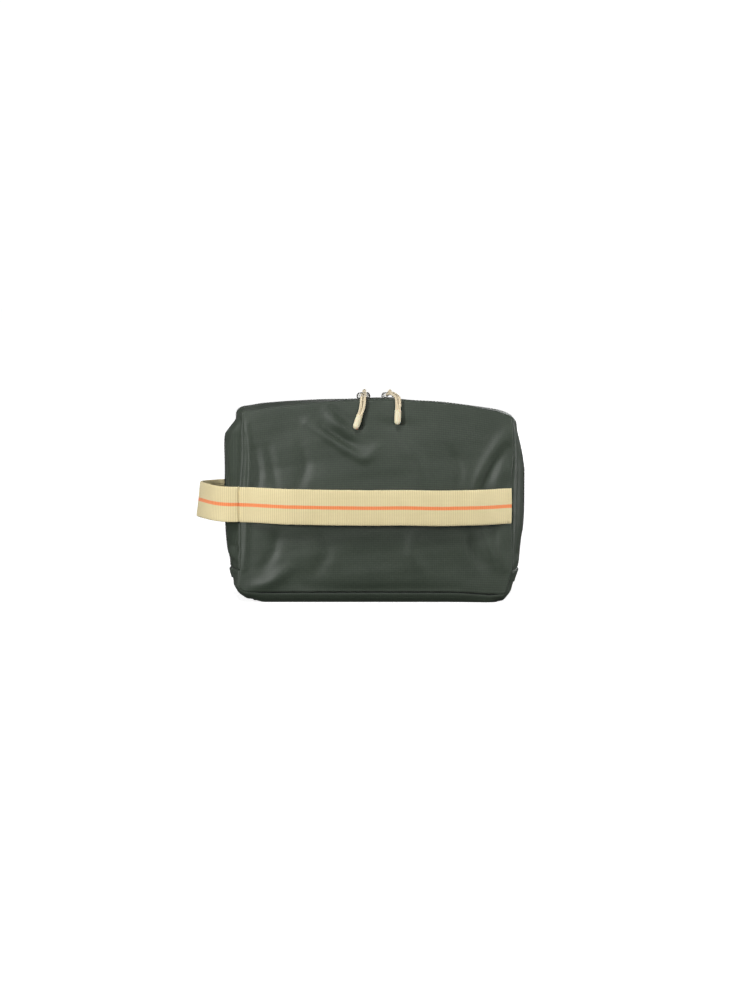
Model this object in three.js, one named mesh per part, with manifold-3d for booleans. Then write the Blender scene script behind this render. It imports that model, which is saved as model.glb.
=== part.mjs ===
// Zipped wash bag with a trolley strap across its back and a carry loop on its side.
// Millimetres. +X is the bag's right seen from the back, +Y goes from the back to the front, +Z is up.
// The origin is the middle of the base, on the surface that the bag stands on.
import * as THREE from 'three';
import { mergeVertices } from 'three/addons/utils/BufferGeometryUtils.js';
import Module from 'manifold-3d';

const wasm = await Module();
wasm.setup();

// Body
const HALF_WIDTH = 115.5; // of the flat panels, to their side seams
const DEPTH = 105;
const BACK_TOP = 173; // height of the back panel's top seam, mid-width
const FRONT_TOP = 158;
const PANEL_FOOT = 6; // height of the panels' bottom seams
const TOP_CORNER = 8;
const FOOT_CORNER = 11;
const FOLD = 28; // height where the zip ends and the back flap folds
const FALL_LEFT = 0.045; // slope of the top edge towards each side
const FALL_RIGHT = 0.095;
const FALL_ROUNDING = 12;
const PANEL_DOME = 3;

// How far the gusset stands out past the seams
const SIDE_BULGE = 10.5;
const TOP_BULGE = 3;
const FOLD_BULGE = 7;

// Layers, as depths below the gusset's outer face
const GAP = 0.3; // air between pieces that touch
const CLOTH = 1;
const TAPE = 0.6;
const LINING = 0.6;
const TAPE_DEPTH = CLOTH + GAP;
const LINING_DEPTH = TAPE_DEPTH + TAPE + GAP;
const BOARD = 1.5;
const BASE_LINING_DEPTH = CLOTH + GAP + BOARD + GAP;

// Zip
const ZIP_INSET = 28; // from the back seam to the middle of the chain
const ZIP_OPENING = 5; // from the middle of the chain to the cloth's edge
const TAPE_EDGE = 12;
const COIL_EDGE = 2.9;
const COIL_SPLIT = 0.2;
const COIL_STAND = 0.3; // how far the coil stands above the cloth
const SLIDER_REST = { left: -10.8, right: 10 };
const SLIDER_TRAVEL_END = 94; // distance from mid-width at the end of the straight run

// Webbing
const WEBBING_WIDTH = 30;
const WEBBING = 1.6;
const STRAP_HEIGHT = { left: 84.6, right: 82.8 }; // of the webbing's middle
const LOOP_HEIGHT = 85;

const BACK = -DEPTH / 2;
const FRONT = DEPTH / 2;
const ZIP_T = ZIP_INSET / DEPTH;
const perDepth = (millimetres) => millimetres / DEPTH;
const BASE_EDGE = 0.07; // share of the depth over which the base curves up to a panel
const CREASES = [
  ...[0, 0.4, 1].map((s) => s * BASE_EDGE),
  ...[0.15, ZIP_T, 0.45, 0.65, 0.82],
  ...[1, 0.4, 0].map((s) => 1 - s * BASE_EDGE),
];

const range = (count, from, to) =>
  Array.from({ length: count + 1 }, (_, i) => from + ((to - from) * i) / count);

// ---------------------------------------------------------------- closed solids

// A solid between two grids of points, with its faces pointing out.
function solidBetween(outer, inner) {
  const rows = outer.length;
  const columns = outer[0].length;
  const positions = [outer, inner].flat(2).flatMap((p) => [p.x, p.y, p.z]);
  const id = (side, u, v) => (side * rows + u) * columns + v;
  const indices = [];
  const quad = (a, b, c, d) => indices.push(a, b, c, a, c, d);
  const end = rows - 1;
  const last = columns - 1;
  for (let u = 0; u < end; u += 1) {
    for (let v = 0; v < last; v += 1) {
      quad(id(0, u, v), id(0, u + 1, v), id(0, u + 1, v + 1), id(0, u, v + 1));
      quad(id(1, u, v), id(1, u, v + 1), id(1, u + 1, v + 1), id(1, u + 1, v));
    }
    quad(id(0, u, 0), id(1, u, 0), id(1, u + 1, 0), id(0, u + 1, 0));
    quad(id(0, u, last), id(0, u + 1, last), id(1, u + 1, last), id(1, u, last));
  }
  for (let v = 0; v < last; v += 1) {
    quad(id(0, 0, v), id(0, 0, v + 1), id(1, 0, v + 1), id(1, 0, v));
    quad(id(0, end, v), id(1, end, v), id(1, end, v + 1), id(0, end, v + 1));
  }
  const geometry = new THREE.BufferGeometry();
  geometry.setAttribute('position', new THREE.Float32BufferAttribute(positions, 3));
  geometry.setIndex(signedVolume(positions, indices) < 0 ? indices.reverse() : indices);
  return geometry;
}

function signedVolume(positions, indices) {
  const corner = (i) => new THREE.Vector3().fromArray(positions, 3 * indices[i]);
  let volume = 0;
  for (let i = 0; i < indices.length; i += 3) {
    volume += corner(i).dot(corner(i + 1).cross(corner(i + 2)));
  }
  return volume;
}

function toManifold(geometry) {
  const bare = geometry.clone();
  bare.deleteAttribute('normal');
  bare.deleteAttribute('uv');
  const merged = mergeVertices(bare, 1e-4);
  return new wasm.Manifold(
    new wasm.Mesh({
      numProp: 3,
      vertProperties: new Float32Array(merged.attributes.position.array),
      triVerts: new Uint32Array(merged.index.array),
    }),
  );
}

function joined(geometries) {
  const mesh = geometries
    .map(toManifold)
    .reduce((all, next) => all.add(next))
    .getMesh();
  const geometry = new THREE.BufferGeometry();
  geometry.setAttribute('position', new THREE.Float32BufferAttribute(mesh.vertProperties, 3));
  geometry.setIndex(Array.from(mesh.triVerts));
  return geometry;
}

function tube(points, radius, steps) {
  const section = new THREE.Shape();
  section.absarc(0, 0, radius, 0, 2 * Math.PI);
  return new THREE.ExtrudeGeometry(section, {
    extrudePath: new THREE.CatmullRomCurve3(points, false, 'centripetal'),
    steps,
    curveSegments: 4,
  });
}

// ---------------------------------------------------------------- the bag's form

// The top edge falls away to both sides, and everything above the fold settles with it.
function fall(x) {
  const slope = x < 0 ? FALL_LEFT : FALL_RIGHT;
  return slope * (Math.hypot(x, FALL_ROUNDING) - FALL_ROUNDING);
}

function settle(x, y, z) {
  const share = Math.max(0, (z - FOLD) / (BACK_TOP - FOLD));
  return new THREE.Vector3(x, y, z - fall(x) * share);
}

function arc(cx, cz, radius, from, to, count) {
  return range(count, from, to).map((angle) => ({
    x: cx + radius * Math.cos(angle),
    z: cz + radius * Math.sin(angle),
    nx: Math.cos(angle),
    nz: Math.sin(angle),
    bulge: FOLD_BULGE,
  }));
}

// The outline's part above the fold, from the right side over the top to the left side.
function mouthRun(top) {
  const cx = HALF_WIDTH - TOP_CORNER;
  const cz = top - TOP_CORNER;
  const side = (sign) =>
    range(5, 0, 1).map((h) => ({
      x: sign * HALF_WIDTH,
      z: THREE.MathUtils.lerp(FOLD + GAP / 2, cz, h),
      nx: sign,
      nz: 0,
      bulge: FOLD_BULGE + (SIDE_BULGE - FOLD_BULGE) * Math.sin(Math.PI * h),
    }));
  const corner = (sign) =>
    arc(sign * cx, cz, TOP_CORNER, sign > 0 ? 0 : Math.PI / 2, sign > 0 ? Math.PI / 2 : Math.PI, 4);
  const cornerBulge = (stations, from, to) =>
    stations.map((s, i) => ({
      ...s,
      bulge: THREE.MathUtils.lerp(from, to, i / (stations.length - 1)),
    }));
  const across = range(10, cx, -cx).map((x) => ({ x, z: top, nx: 0, nz: 1, bulge: TOP_BULGE }));
  return [
    ...side(1),
    ...cornerBulge(corner(1), FOLD_BULGE, TOP_BULGE).slice(1),
    ...across.slice(1),
    ...cornerBulge(corner(-1), TOP_BULGE, FOLD_BULGE).slice(1),
    ...side(-1).reverse().slice(1),
  ];
}

// The outline's part below the fold, from the left side under the base to the right side.
function baseRun() {
  const cx = HALF_WIDTH - FOOT_CORNER;
  const cz = PANEL_FOOT + FOOT_CORNER;
  const fold = (sign) => ({
    x: sign * HALF_WIDTH,
    z: FOLD - GAP / 2,
    nx: sign,
    nz: 0,
    bulge: FOLD_BULGE,
  });
  const footBulge = (s) => ({
    ...s,
    bulge: THREE.MathUtils.lerp(FOLD_BULGE, PANEL_FOOT, -s.nz),
  });
  const across = range(4, -cx, cx).map((x) => ({
    x,
    z: PANEL_FOOT,
    nx: 0,
    nz: -1,
    bulge: PANEL_FOOT,
  }));
  return [
    fold(-1),
    ...arc(-cx, cz, FOOT_CORNER, Math.PI, 1.5 * Math.PI, 4).map(footBulge),
    ...across.slice(1),
    ...arc(cx, cz, FOOT_CORNER, -Math.PI / 2, 0, 4).map(footBulge).slice(1),
    fold(1),
  ];
}

// Share of the bulge at depth t: the sides stand out most at the zip, the base is flat.
function bulgeAt(t, down) {
  const behindZip = (t - ZIP_T) / (1 - ZIP_T);
  const peaked = t < ZIP_T ? Math.sin((Math.PI / 2) * (t / ZIP_T)) : 1 - behindZip ** 1.7;
  const fromEdge = Math.min(t, 1 - t, BASE_EDGE) / BASE_EDGE;
  const flat = Math.sin((Math.PI / 2) * fromEdge);
  return THREE.MathUtils.lerp(peaked, flat, down);
}

// The same in straight steps between the creases, so that every layer has the same facets.
function bulgeShare(t, down) {
  const next = Math.max(1, CREASES.findIndex((crease) => crease >= t - 1e-9));
  const [a, b] = [CREASES[next - 1], CREASES[next]];
  return THREE.MathUtils.mapLinear(t, a, b, bulgeAt(a, down), bulgeAt(b, down));
}

const MOUTH = { back: mouthRun(BACK_TOP), front: mouthRun(FRONT_TOP) };
const BASE = { back: baseRun(), front: baseRun() };

function gussetPoint(run, i, t, depth) {
  const a = run.back[i];
  const b = run.front[i];
  const out = a.bulge * bulgeShare(t, Math.max(0, -a.nz)) - depth;
  return settle(
    a.x + a.nx * out,
    THREE.MathUtils.lerp(BACK, FRONT, t),
    THREE.MathUtils.lerp(a.z, b.z, t) + a.nz * out,
  );
}

// A band of the gusset between two shares of the bag's depth.
function band(run, from, to, depth, thickness) {
  const near = 1e-3;
  const between = CREASES.filter((crease) => crease > from + near && crease < to - near);
  const columns = [from, ...between, to];
  const layer = (below) =>
    run.back.map((_, i) => columns.map((t) => gussetPoint(run, i, t, below)));
  return solidBetween(layer(depth), layer(depth + thickness));
}

// Half the panel's width at a height, inside a margin.
function panelHalfWidth(z, top, margin) {
  const foot = PANEL_FOOT + FOOT_CORNER;
  const head = top - TOP_CORNER;
  const cut = (radius, rise) =>
    HALF_WIDTH - radius + Math.sqrt(Math.max(0, (radius - margin) ** 2 - rise ** 2));
  if (z < foot) {
    return cut(FOOT_CORNER, foot - z);
  }
  return z > head ? cut(TOP_CORNER, z - head) : HALF_WIDTH - margin;
}

// A domed sheet that fills the panel's outline between two heights.
function panel({ facing, top, from, to, margin, depth, thickness, rows = 10 }) {
  const middle = (PANEL_FOOT + top) / 2;
  const reach = (top - PANEL_FOOT) / 2;
  const low = Math.max(from, PANEL_FOOT + margin);
  const high = Math.min(to, top - margin);
  const heights = range(rows, 0, 1).map((s) =>
    THREE.MathUtils.lerp(low, high, (1 - Math.cos(Math.PI * s)) / 2),
  );
  const point = (z, across, below) => {
    const x = panelHalfWidth(z, top, margin) * across;
    const dome = PANEL_DOME * (1 - (x / HALF_WIDTH) ** 2) * (1 - ((z - middle) / reach) ** 2);
    return settle(x, facing * (DEPTH / 2 + dome - below), z);
  };
  const layer = (below) => heights.map((z) => range(8, -1, 1).map((c) => point(z, c, below)));
  return solidBetween(layer(depth), layer(depth + thickness));
}

// A ribbon of webbing: its path lies in a level plane, and its height changes along it.
function webbing(path, heights, steps) {
  const curve = new THREE.CatmullRomCurve3(path, false, 'centripetal');
  const side = (sign) =>
    range(steps, 0, 1).map((s) => {
      const at = curve.getPointAt(s);
      const along = curve.getTangentAt(s);
      const out = new THREE.Vector3(-along.y, along.x, 0).normalize();
      const middle = at.addScaledVector(out, (sign * WEBBING) / 2);
      const height = THREE.MathUtils.lerp(heights[0], heights[1], s);
      return [-0.5, 0.5].map(
        (edge) => new THREE.Vector3(middle.x, middle.y, height + edge * WEBBING_WIDTH),
      );
    });
  return solidBetween(side(1), side(-1));
}

// ---------------------------------------------------------------- materials

const finish = (color, roughness, metalness = 0) => ({ color, roughness, metalness });
const OUTER_CLOTH = finish(0x3c4840, 0.75);
const LINING_CLOTH = finish(0x2c302e, 0.85);
const ZIP_BLACK = finish(0x15171a, 0.6);
const WEBBING_BEIGE = finish(0xd9c79b, 0.85);
const CORD_BEIGE = finish(0xe3d2ad, 0.7);
const ZINC = finish(0xb9bcc0, 0.3, 0.9);
const BOARD_BLACK = finish(0x222222, 0.8);

const bag = new THREE.Group();

function add(name, geometry, material, parent = bag) {
  const mesh = new THREE.Mesh(geometry, new THREE.MeshStandardMaterial(material));
  mesh.name = name;
  parent.add(mesh);
  return mesh;
}

// ---------------------------------------------------------------- cloth shell

const PANEL_MARGIN = CLOTH + GAP;
const LINING_MARGIN = LINING_DEPTH + LINING + GAP;
const ABOVE_FOLD = FOLD + GAP / 2;
const BELOW_FOLD = FOLD - GAP / 2;

function addPanels() {
  const back = { facing: -1, top: BACK_TOP };
  const front = { facing: 1, top: FRONT_TOP };
  const upper = { from: ABOVE_FOLD, to: Infinity };
  const lower = { from: -Infinity, to: BELOW_FOLD, rows: 6 };
  const whole = { from: -Infinity, to: Infinity, rows: 13 };
  const cloth = { margin: PANEL_MARGIN, depth: 0, thickness: CLOTH };
  const lining = { margin: LINING_MARGIN, depth: CLOTH + GAP, thickness: LINING };
  add('back_panel', panel({ ...back, ...upper, ...cloth }), OUTER_CLOTH);
  add('back_panel_foot', panel({ ...back, ...lower, ...cloth }), OUTER_CLOTH);
  add('front_panel', panel({ ...front, ...whole, ...cloth }), OUTER_CLOTH);
  add('back_lining', panel({ ...back, ...upper, ...lining }), LINING_CLOTH);
  add('back_lining_foot', panel({ ...back, ...lower, ...lining }), LINING_CLOTH);
  add('front_lining', panel({ ...front, ...whole, ...lining }), LINING_CLOTH);
}

function addGusset() {
  const backEdge = ZIP_T - perDepth(ZIP_OPENING);
  const frontEdge = ZIP_T + perDepth(ZIP_OPENING);
  const seam = perDepth(CLOTH + 2 * GAP + LINING);
  const liningBack = ZIP_T - perDepth(TAPE_EDGE + GAP);
  const liningFront = ZIP_T + perDepth(TAPE_EDGE + GAP);
  add('back_zip_gusset', band(MOUTH, 0, backEdge, 0, CLOTH), OUTER_CLOTH);
  add('front_zip_gusset', band(MOUTH, frontEdge, 1, 0, CLOTH), OUTER_CLOTH);
  add('base_gusset', band(BASE, 0, 1, 0, CLOTH), OUTER_CLOTH);
  add('back_gusset_lining', band(MOUTH, seam, liningBack, LINING_DEPTH, LINING), LINING_CLOTH);
  add('front_gusset_lining', band(MOUTH, liningFront, 1 - seam, LINING_DEPTH, LINING), LINING_CLOTH);
  add('base_lining', band(BASE, 2 * seam, 1 - 2 * seam, BASE_LINING_DEPTH, LINING), LINING_CLOTH);
}

function addBaseBoard() {
  const length = 2 * (HALF_WIDTH - FOOT_CORNER);
  const width = DEPTH - 20;
  const board = new THREE.BoxGeometry(length, width, BOARD);
  add('base_board', board, BOARD_BLACK).position.z = CLOTH + GAP + BOARD / 2;
}

// Binding tape over the seam allowance, inside the corner between panel and gusset.
function addSeamBinding() {
  const from = perDepth(4);
  const to = perDepth(6.5);
  const depth = LINING_DEPTH + LINING + GAP;
  const baseDepth = BASE_LINING_DEPTH + LINING + GAP;
  const height = 5;
  add('back_seam_binding', band(MOUTH, from, to, depth, height), ZIP_BLACK);
  add('back_seam_binding_foot', band(BASE, from, to, baseDepth, height), ZIP_BLACK);
  add('front_seam_binding', band(MOUTH, 1 - to, 1 - from, depth, height), ZIP_BLACK);
  add('front_seam_binding_foot', band(BASE, 1 - to, 1 - from, baseDepth, height), ZIP_BLACK);
}

// A flat slip pocket on the front lining, with elastic along its mouth.
function addSlipPocket() {
  const lies = CLOTH + GAP + LINING + GAP;
  const onFront = { facing: 1, top: FRONT_TOP, margin: 22, rows: 6 };
  const mesh = 0.8;
  const elastic = 1.6;
  const mouth = 96;
  add(
    'slip_pocket',
    panel({ ...onFront, from: 30, to: mouth, depth: lies, thickness: mesh }),
    ZIP_BLACK,
  );
  add(
    'pocket_elastic',
    panel({ ...onFront, from: mouth + GAP, to: mouth + 10, depth: lies, thickness: elastic, rows: 1 }),
    ZIP_BLACK,
  );
}

// ---------------------------------------------------------------- zip

function addZip() {
  const tape = (side) => {
    const edges = [side * COIL_SPLIT, side * TAPE_EDGE].sort((a, b) => a - b).map(perDepth);
    return band(MOUTH, ZIP_T + edges[0], ZIP_T + edges[1], TAPE_DEPTH, TAPE);
  };
  const coil = (side) => {
    const edges = [side * COIL_SPLIT, side * COIL_EDGE].sort((a, b) => a - b).map(perDepth);
    const height = COIL_STAND + TAPE_DEPTH - GAP;
    return band(MOUTH, ZIP_T + edges[0], ZIP_T + edges[1], -COIL_STAND, height);
  };
  add('zip_tape_back', tape(-1), ZIP_BLACK);
  add('zip_tape_front', tape(1), ZIP_BLACK);
  add('zip_coil_back', coil(-1), ZIP_BLACK);
  add('zip_coil_front', coil(1), ZIP_BLACK);
}

// Cloth tabs over the zip's two ends, sewn to the base gusset just below the fold.
function addZipEndTabs() {
  const reach = perDepth(8);
  const run = (stations) => ({
    back: stations.map((i) => BASE.back[i]),
    front: stations.map((i) => BASE.front[i]),
  });
  const last = BASE.back.length - 1;
  const tab = (stations) =>
    band(run(stations), ZIP_T - reach, ZIP_T + reach, -(CLOTH + GAP), CLOTH);
  add('zip_end_tab_left', tab([0, 1]), OUTER_CLOTH);
  add('zip_end_tab_right', tab([last - 1, last]), OUTER_CLOTH);
}

// The slider's own frame: X along the chain, Z up from the cloth's surface.
const SLIDER = { length: 11, width: 9, floor: 0.9, plate: 0.6, flange: 1, flangeFoot: 0.1 };
const CORD_RADIUS = 1.2;
const BRIDGE = { reach: 4.1, post: 2.2, postWidth: 2.6, bar: 1 };
const PLATE_TOP = SLIDER.floor + SLIDER.plate;
const LOOP_RADIUS = BRIDGE.bar * Math.SQRT1_2 + GAP + CORD_RADIUS;
const BAR_HEIGHT = PLATE_TOP + GAP + CORD_RADIUS + LOOP_RADIUS;

function block(x, y, z, cx, cy, cz) {
  return new THREE.BoxGeometry(x, y, z).translate(cx, cy, cz);
}

function sliderGeometry() {
  const { length, width, plate, flange, flangeFoot } = SLIDER;
  const outline = new THREE.Shape();
  const nose = 1.6;
  outline.moveTo(-length / 2, -width / 2 + nose);
  outline.lineTo(-length / 2 + nose, -width / 2);
  outline.lineTo(length / 2 - nose, -width / 2);
  outline.lineTo(length / 2, -width / 2 + nose);
  outline.lineTo(length / 2, width / 2 - nose);
  outline.lineTo(length / 2 - nose, width / 2);
  outline.lineTo(-length / 2 + nose, width / 2);
  outline.lineTo(-length / 2, width / 2 - nose);
  const cover = new THREE.ExtrudeGeometry(outline, { depth: plate, bevelEnabled: false });
  cover.translate(0, 0, SLIDER.floor);
  const drop = PLATE_TOP - flangeFoot;
  const lip = block(
    length - 2 * nose,
    flange,
    drop,
    0,
    -(width - flange) / 2,
    flangeFoot + drop / 2,
  );
  const barTop = BAR_HEIGHT + BRIDGE.bar / 2;
  const rise = barTop - PLATE_TOP + plate / 2;
  const post = (sign) =>
    block(BRIDGE.post, BRIDGE.postWidth, rise, sign * BRIDGE.reach, 0, barTop - rise / 2);
  const bar = block(2 * BRIDGE.reach, BRIDGE.bar, BRIDGE.bar, 0, 0, BAR_HEIGHT);
  return joined([cover, lip, post(1), post(-1), bar]);
}

// Middle line of each doubled pull cord, from the bridge to its moulded tip.
const PULL_ROUTE = {
  left: [
    [0, -4.4, 5],
    [0.2, -9, 4.4],
    [0.4, -16, 4],
    [0.4, -23, 3.8],
    [0, -29.4, 2.9],
    [-0.7, -32, -2.4],
    [-1.8, -32.7, -7],
    [-3.4, -33.2, -11.2],
  ],
  right: [
    [0, -4.4, 5],
    [1.5, -9, 5.6],
    [4, -16, 5.6],
    [6.4, -23, 4.8],
    [8, -29.4, 2.9],
    [8.7, -31.9, -2],
    [8.9, -32.5, -6],
  ],
};
const TIP = { length: 12.5, radius: 2.8, thin: 0.9 };
const STRAND_OFFSET = CORD_RADIUS + GAP / 2;
const STRAND_SPREAD = 0.9; // one strand comes from above the bar and the other from under it

function pullCord(route) {
  const middle = route.map((p) => new THREE.Vector3(...p));
  const curve = new THREE.CatmullRomCurve3(middle, false, 'centripetal');
  const steps = 2 * (middle.length - 1);
  const strand = (sign) =>
    range(steps, 0, 1).map((s) => {
      const along = curve.getTangentAt(s);
      const side = new THREE.Vector3(1, 0, 0).addScaledVector(along, -along.x).normalize();
      const at = curve.getPointAt(s).addScaledVector(side, sign * STRAND_OFFSET);
      at.z += sign * STRAND_SPREAD * Math.max(0, 1 - 3 * s);
      return at;
    });
  const turn = 1.95; // radians each way from the side of the bar that faces the front
  const roundTheBar = range(8, -turn, turn).map(
    (angle) =>
      new THREE.Vector3(
        (STRAND_OFFSET * angle) / turn,
        LOOP_RADIUS * Math.cos(angle),
        BAR_HEIGHT + LOOP_RADIUS * Math.sin(angle),
      ),
  );
  return tube([...strand(-1).reverse(), ...roundTheBar, ...strand(1)], CORD_RADIUS, 56);
}

function addTip(name, route, parent) {
  const end = new THREE.Vector3(...route[route.length - 1]);
  const before = new THREE.Vector3(...route[route.length - 2]);
  const down = end.clone().sub(before).normalize();
  const { length, radius, thin } = TIP;
  const profile = range(4, 0, Math.PI / 2).map(
    (angle) =>
      new THREE.Vector2(radius * Math.cos(angle), length - radius + radius * Math.sin(angle)),
  );
  profile[profile.length - 1].x = 0;
  const outline = [new THREE.Vector2(0, 0), new THREE.Vector2(radius * 0.9, 0), ...profile];
  const tip = add(name, new THREE.LatheGeometry(outline, 12), CORD_BEIGE, parent);
  const across = new THREE.Vector3(1, 0, 0).addScaledVector(down, -down.x).normalize();
  const through = across.clone().cross(down);
  tip.geometry.scale(1, 1, thin);
  tip.quaternion.setFromRotationMatrix(new THREE.Matrix4().makeBasis(across, down, through));
  tip.position.copy(end).addScaledVector(down, GAP);
}

// A point on the straight run of the chain, level with the cloth's outer face.
function chainPoint(x) {
  const station = (top) => ({ x, z: top, nx: 0, nz: 1, bulge: TOP_BULGE });
  return gussetPoint({ back: [station(BACK_TOP)], front: [station(FRONT_TOP)] }, 0, ZIP_T, 0);
}

function addSlider(side) {
  const rest = chainPoint(SLIDER_REST[side]);
  const end = chainPoint(Math.sign(rest.x) * SLIDER_TRAVEL_END);
  const slope = Math.atan2(end.z - rest.z, end.x - rest.x);
  const placed = new THREE.Group();
  placed.position.copy(rest);
  placed.rotation.y = rest.x < 0 ? Math.PI - slope : -slope;
  bag.add(placed);
  add(`slider_${side}`, sliderGeometry(), ZINC, placed);
  add(`pull_cord_${side}`, pullCord(PULL_ROUTE[side]), CORD_BEIGE, placed);
  addTip(`pull_tip_${side}`, PULL_ROUTE[side], placed);
}

// ---------------------------------------------------------------- webbing

function addTrolleyStrap() {
  const seat = BACK - WEBBING / 2 - GAP;
  const bow = BACK - 17;
  const path = [
    [114, seat],
    [106, seat - 2.6],
    [80, bow + 1.4],
    [66, bow],
    [0, bow - 0.8],
    [-62, bow],
    [-77, bow + 1.4],
    [-106, seat - 3],
    [-116.5, seat - 1.2],
    [-127.2, seat - 1],
  ].map(([x, y]) => new THREE.Vector3(x, y, 0));
  const heights = [STRAP_HEIGHT.right, STRAP_HEIGHT.left];
  add('trolley_strap', webbing(path, heights, 36), WEBBING_BEIGE);
}

function addCarryLoop() {
  const path = [
    [-127.6, -54.2],
    [-138, -48],
    [-147, -35],
    [-151.2, -16],
    [-147.5, 0],
    [-139, 11],
    [-129, 18],
    [-122.9, 28],
  ].map(([x, y]) => new THREE.Vector3(x, y, 0));
  add('carry_loop', webbing(path, [LOOP_HEIGHT, LOOP_HEIGHT], 30), WEBBING_BEIGE);
}

addPanels();
addGusset();
addBaseBoard();
addSeamBinding();
addSlipPocket();
addZip();
addZipEndTabs();
addSlider('left');
addSlider('right');
addTrolleyStrap();
addCarryLoop();

export default bag;
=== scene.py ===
# Wash bag with a trolley strap across its back and a carry loop on its side: the looks.
# Metres. +X is the bag's right seen from the back, +Y goes from the back to the front, +Z is up.
import math

import bpy
import numpy as np
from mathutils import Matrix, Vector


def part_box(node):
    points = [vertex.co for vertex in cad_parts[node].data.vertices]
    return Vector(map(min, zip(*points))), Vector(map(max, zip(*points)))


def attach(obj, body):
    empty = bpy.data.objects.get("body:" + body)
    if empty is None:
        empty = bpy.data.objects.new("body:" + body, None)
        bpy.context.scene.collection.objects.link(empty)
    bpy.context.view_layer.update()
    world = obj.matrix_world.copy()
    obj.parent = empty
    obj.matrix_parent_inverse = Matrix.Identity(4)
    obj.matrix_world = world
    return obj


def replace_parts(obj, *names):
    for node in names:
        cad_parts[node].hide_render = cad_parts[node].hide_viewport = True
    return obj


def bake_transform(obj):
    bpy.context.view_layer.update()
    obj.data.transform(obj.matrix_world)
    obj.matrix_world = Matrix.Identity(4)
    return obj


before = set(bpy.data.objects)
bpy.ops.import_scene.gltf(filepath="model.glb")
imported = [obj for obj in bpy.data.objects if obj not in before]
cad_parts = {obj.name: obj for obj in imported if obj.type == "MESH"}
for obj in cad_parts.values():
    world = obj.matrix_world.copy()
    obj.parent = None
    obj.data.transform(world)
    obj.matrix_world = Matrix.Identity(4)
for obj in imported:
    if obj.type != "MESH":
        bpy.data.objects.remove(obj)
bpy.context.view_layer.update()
MM = 0.001

# ---------------------------------------------------------------- sizes, worked out from the frame


def low(node):
    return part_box(node)[0]


def high(node):
    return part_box(node)[1]


PANEL_MARGIN = 1.3 * MM  # the CAD panels stop this far inside their seams
HALF_WIDTH = high("back_panel").x + PANEL_MARGIN
BACK = low("base_gusset").y
FRONT = high("base_gusset").y
DEPTH = FRONT - BACK
BACK_TOP = high("back_panel").z + PANEL_MARGIN
FRONT_TOP = high("front_panel").z + PANEL_MARGIN
PANEL_FOOT = low("back_panel_foot").z + PANEL_MARGIN
FOLD = (low("back_panel").z + high("back_panel_foot").z) / 2
ZIP_Y = (high("zip_coil_back").y + low("zip_coil_front").y) / 2
ZIP_T = (ZIP_Y - BACK) / DEPTH

TOP_CORNER = {-1: 3 * MM, 1: 3 * MM}  # the panels' corner radii, left and right
FOOT_CORNER = {-1: 7.5 * MM, 1: 4 * MM}
FALL = {"left": 0.045, "right": 0.095}  # slope of the top edge towards each side
FALL_ROUNDING = 12 * MM
DOME = 4.5 * MM
TOP_BULGE = 3 * MM
BASE_EDGE = 0.07  # share of the depth over which the base curves up to a panel

SEAM = 1.0 * MM  # radius of the cloth's turn into a seam
CLOTH = 1 * MM
TAPE = 0.6 * MM
LINING = 0.6 * MM
GAP = 0.3 * MM
TAPE_DEPTH = CLOTH + GAP
LINING_DEPTH = TAPE_DEPTH + TAPE + GAP
BASE_LINING_DEPTH = CLOTH + GAP + 1.5 * MM + GAP

# ---------------------------------------------------------------- camera

CAMERA_DISTANCE = 2.5
CAMERA_ELEVATION = math.radians(5.5)
CAMERA_TARGET = (0.0002, BACK, 0.088)
CAMERA_LENS = 106.5  # millimetres, for a 36 mm sensor along the picture's long side


def add_camera():
    data = bpy.data.cameras.new("camera")
    data.lens = CAMERA_LENS
    data.sensor_width = 36
    camera = bpy.data.objects.new("camera", data)
    back = CAMERA_DISTANCE * math.cos(CAMERA_ELEVATION)
    up = CAMERA_DISTANCE * math.sin(CAMERA_ELEVATION)
    camera.location = (CAMERA_TARGET[0], CAMERA_TARGET[1] - back, CAMERA_TARGET[2] + up)
    camera.rotation_euler = (math.pi / 2 - CAMERA_ELEVATION, 0, 0)
    bpy.context.scene.collection.objects.link(camera)
    bpy.context.scene.camera = camera


add_camera()

# ---------------------------------------------------------------- small maths


def lerp(a, b, t):
    return a + (b - a) * t


def smoothstep(t):
    t = np.clip(t, 0, 1)
    return t * t * (3 - 2 * t)


def profile(at, pairs):
    """A smooth curve through (position, value) pairs, level at its two ends."""
    where, value = np.array(pairs, float).T
    secant = np.diff(value) / np.diff(where)
    before, after = secant[:-1], secant[1:]
    same_way = before * after > 0
    mean = 2 * before * after / np.where(same_way, before + after, 1)
    slope = np.concatenate([[0], np.where(same_way, mean, 0), [0]])
    at = np.clip(at, where[0], where[-1])
    i = np.clip(np.searchsorted(where, at) - 1, 0, len(where) - 2)
    step = where[i + 1] - where[i]
    t = (at - where[i]) / step
    rise = value[i + 1] - value[i]
    start = value[i] + slope[i] * step * t * (1 - t) ** 2
    return start + rise * (3 - 2 * t) * t * t - slope[i + 1] * step * t * t * (1 - t)


def waves(u, v, size, seed, count=7):
    """Soft random undulation between about -1 and 1, with features of about this size."""
    draw = np.random.RandomState(seed)
    total = 0
    for _ in range(count):
        angle = draw.uniform(0, math.pi)
        length = size * draw.uniform(0.7, 1.6)
        phase = draw.uniform(0, 2 * math.pi)
        along = u * math.cos(angle) + v * math.sin(angle)
        total = total + np.sin(2 * math.pi * along / length + phase)
    return total / math.sqrt(count)


def turn_in(distance, radius=SEAM):
    """How far cloth has turned in where it is this far from its seam's outer corner."""
    into = np.clip((2 * radius - distance) / radius, 0, 1)
    return radius * (1 - np.sqrt(1 - into**2))


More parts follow.
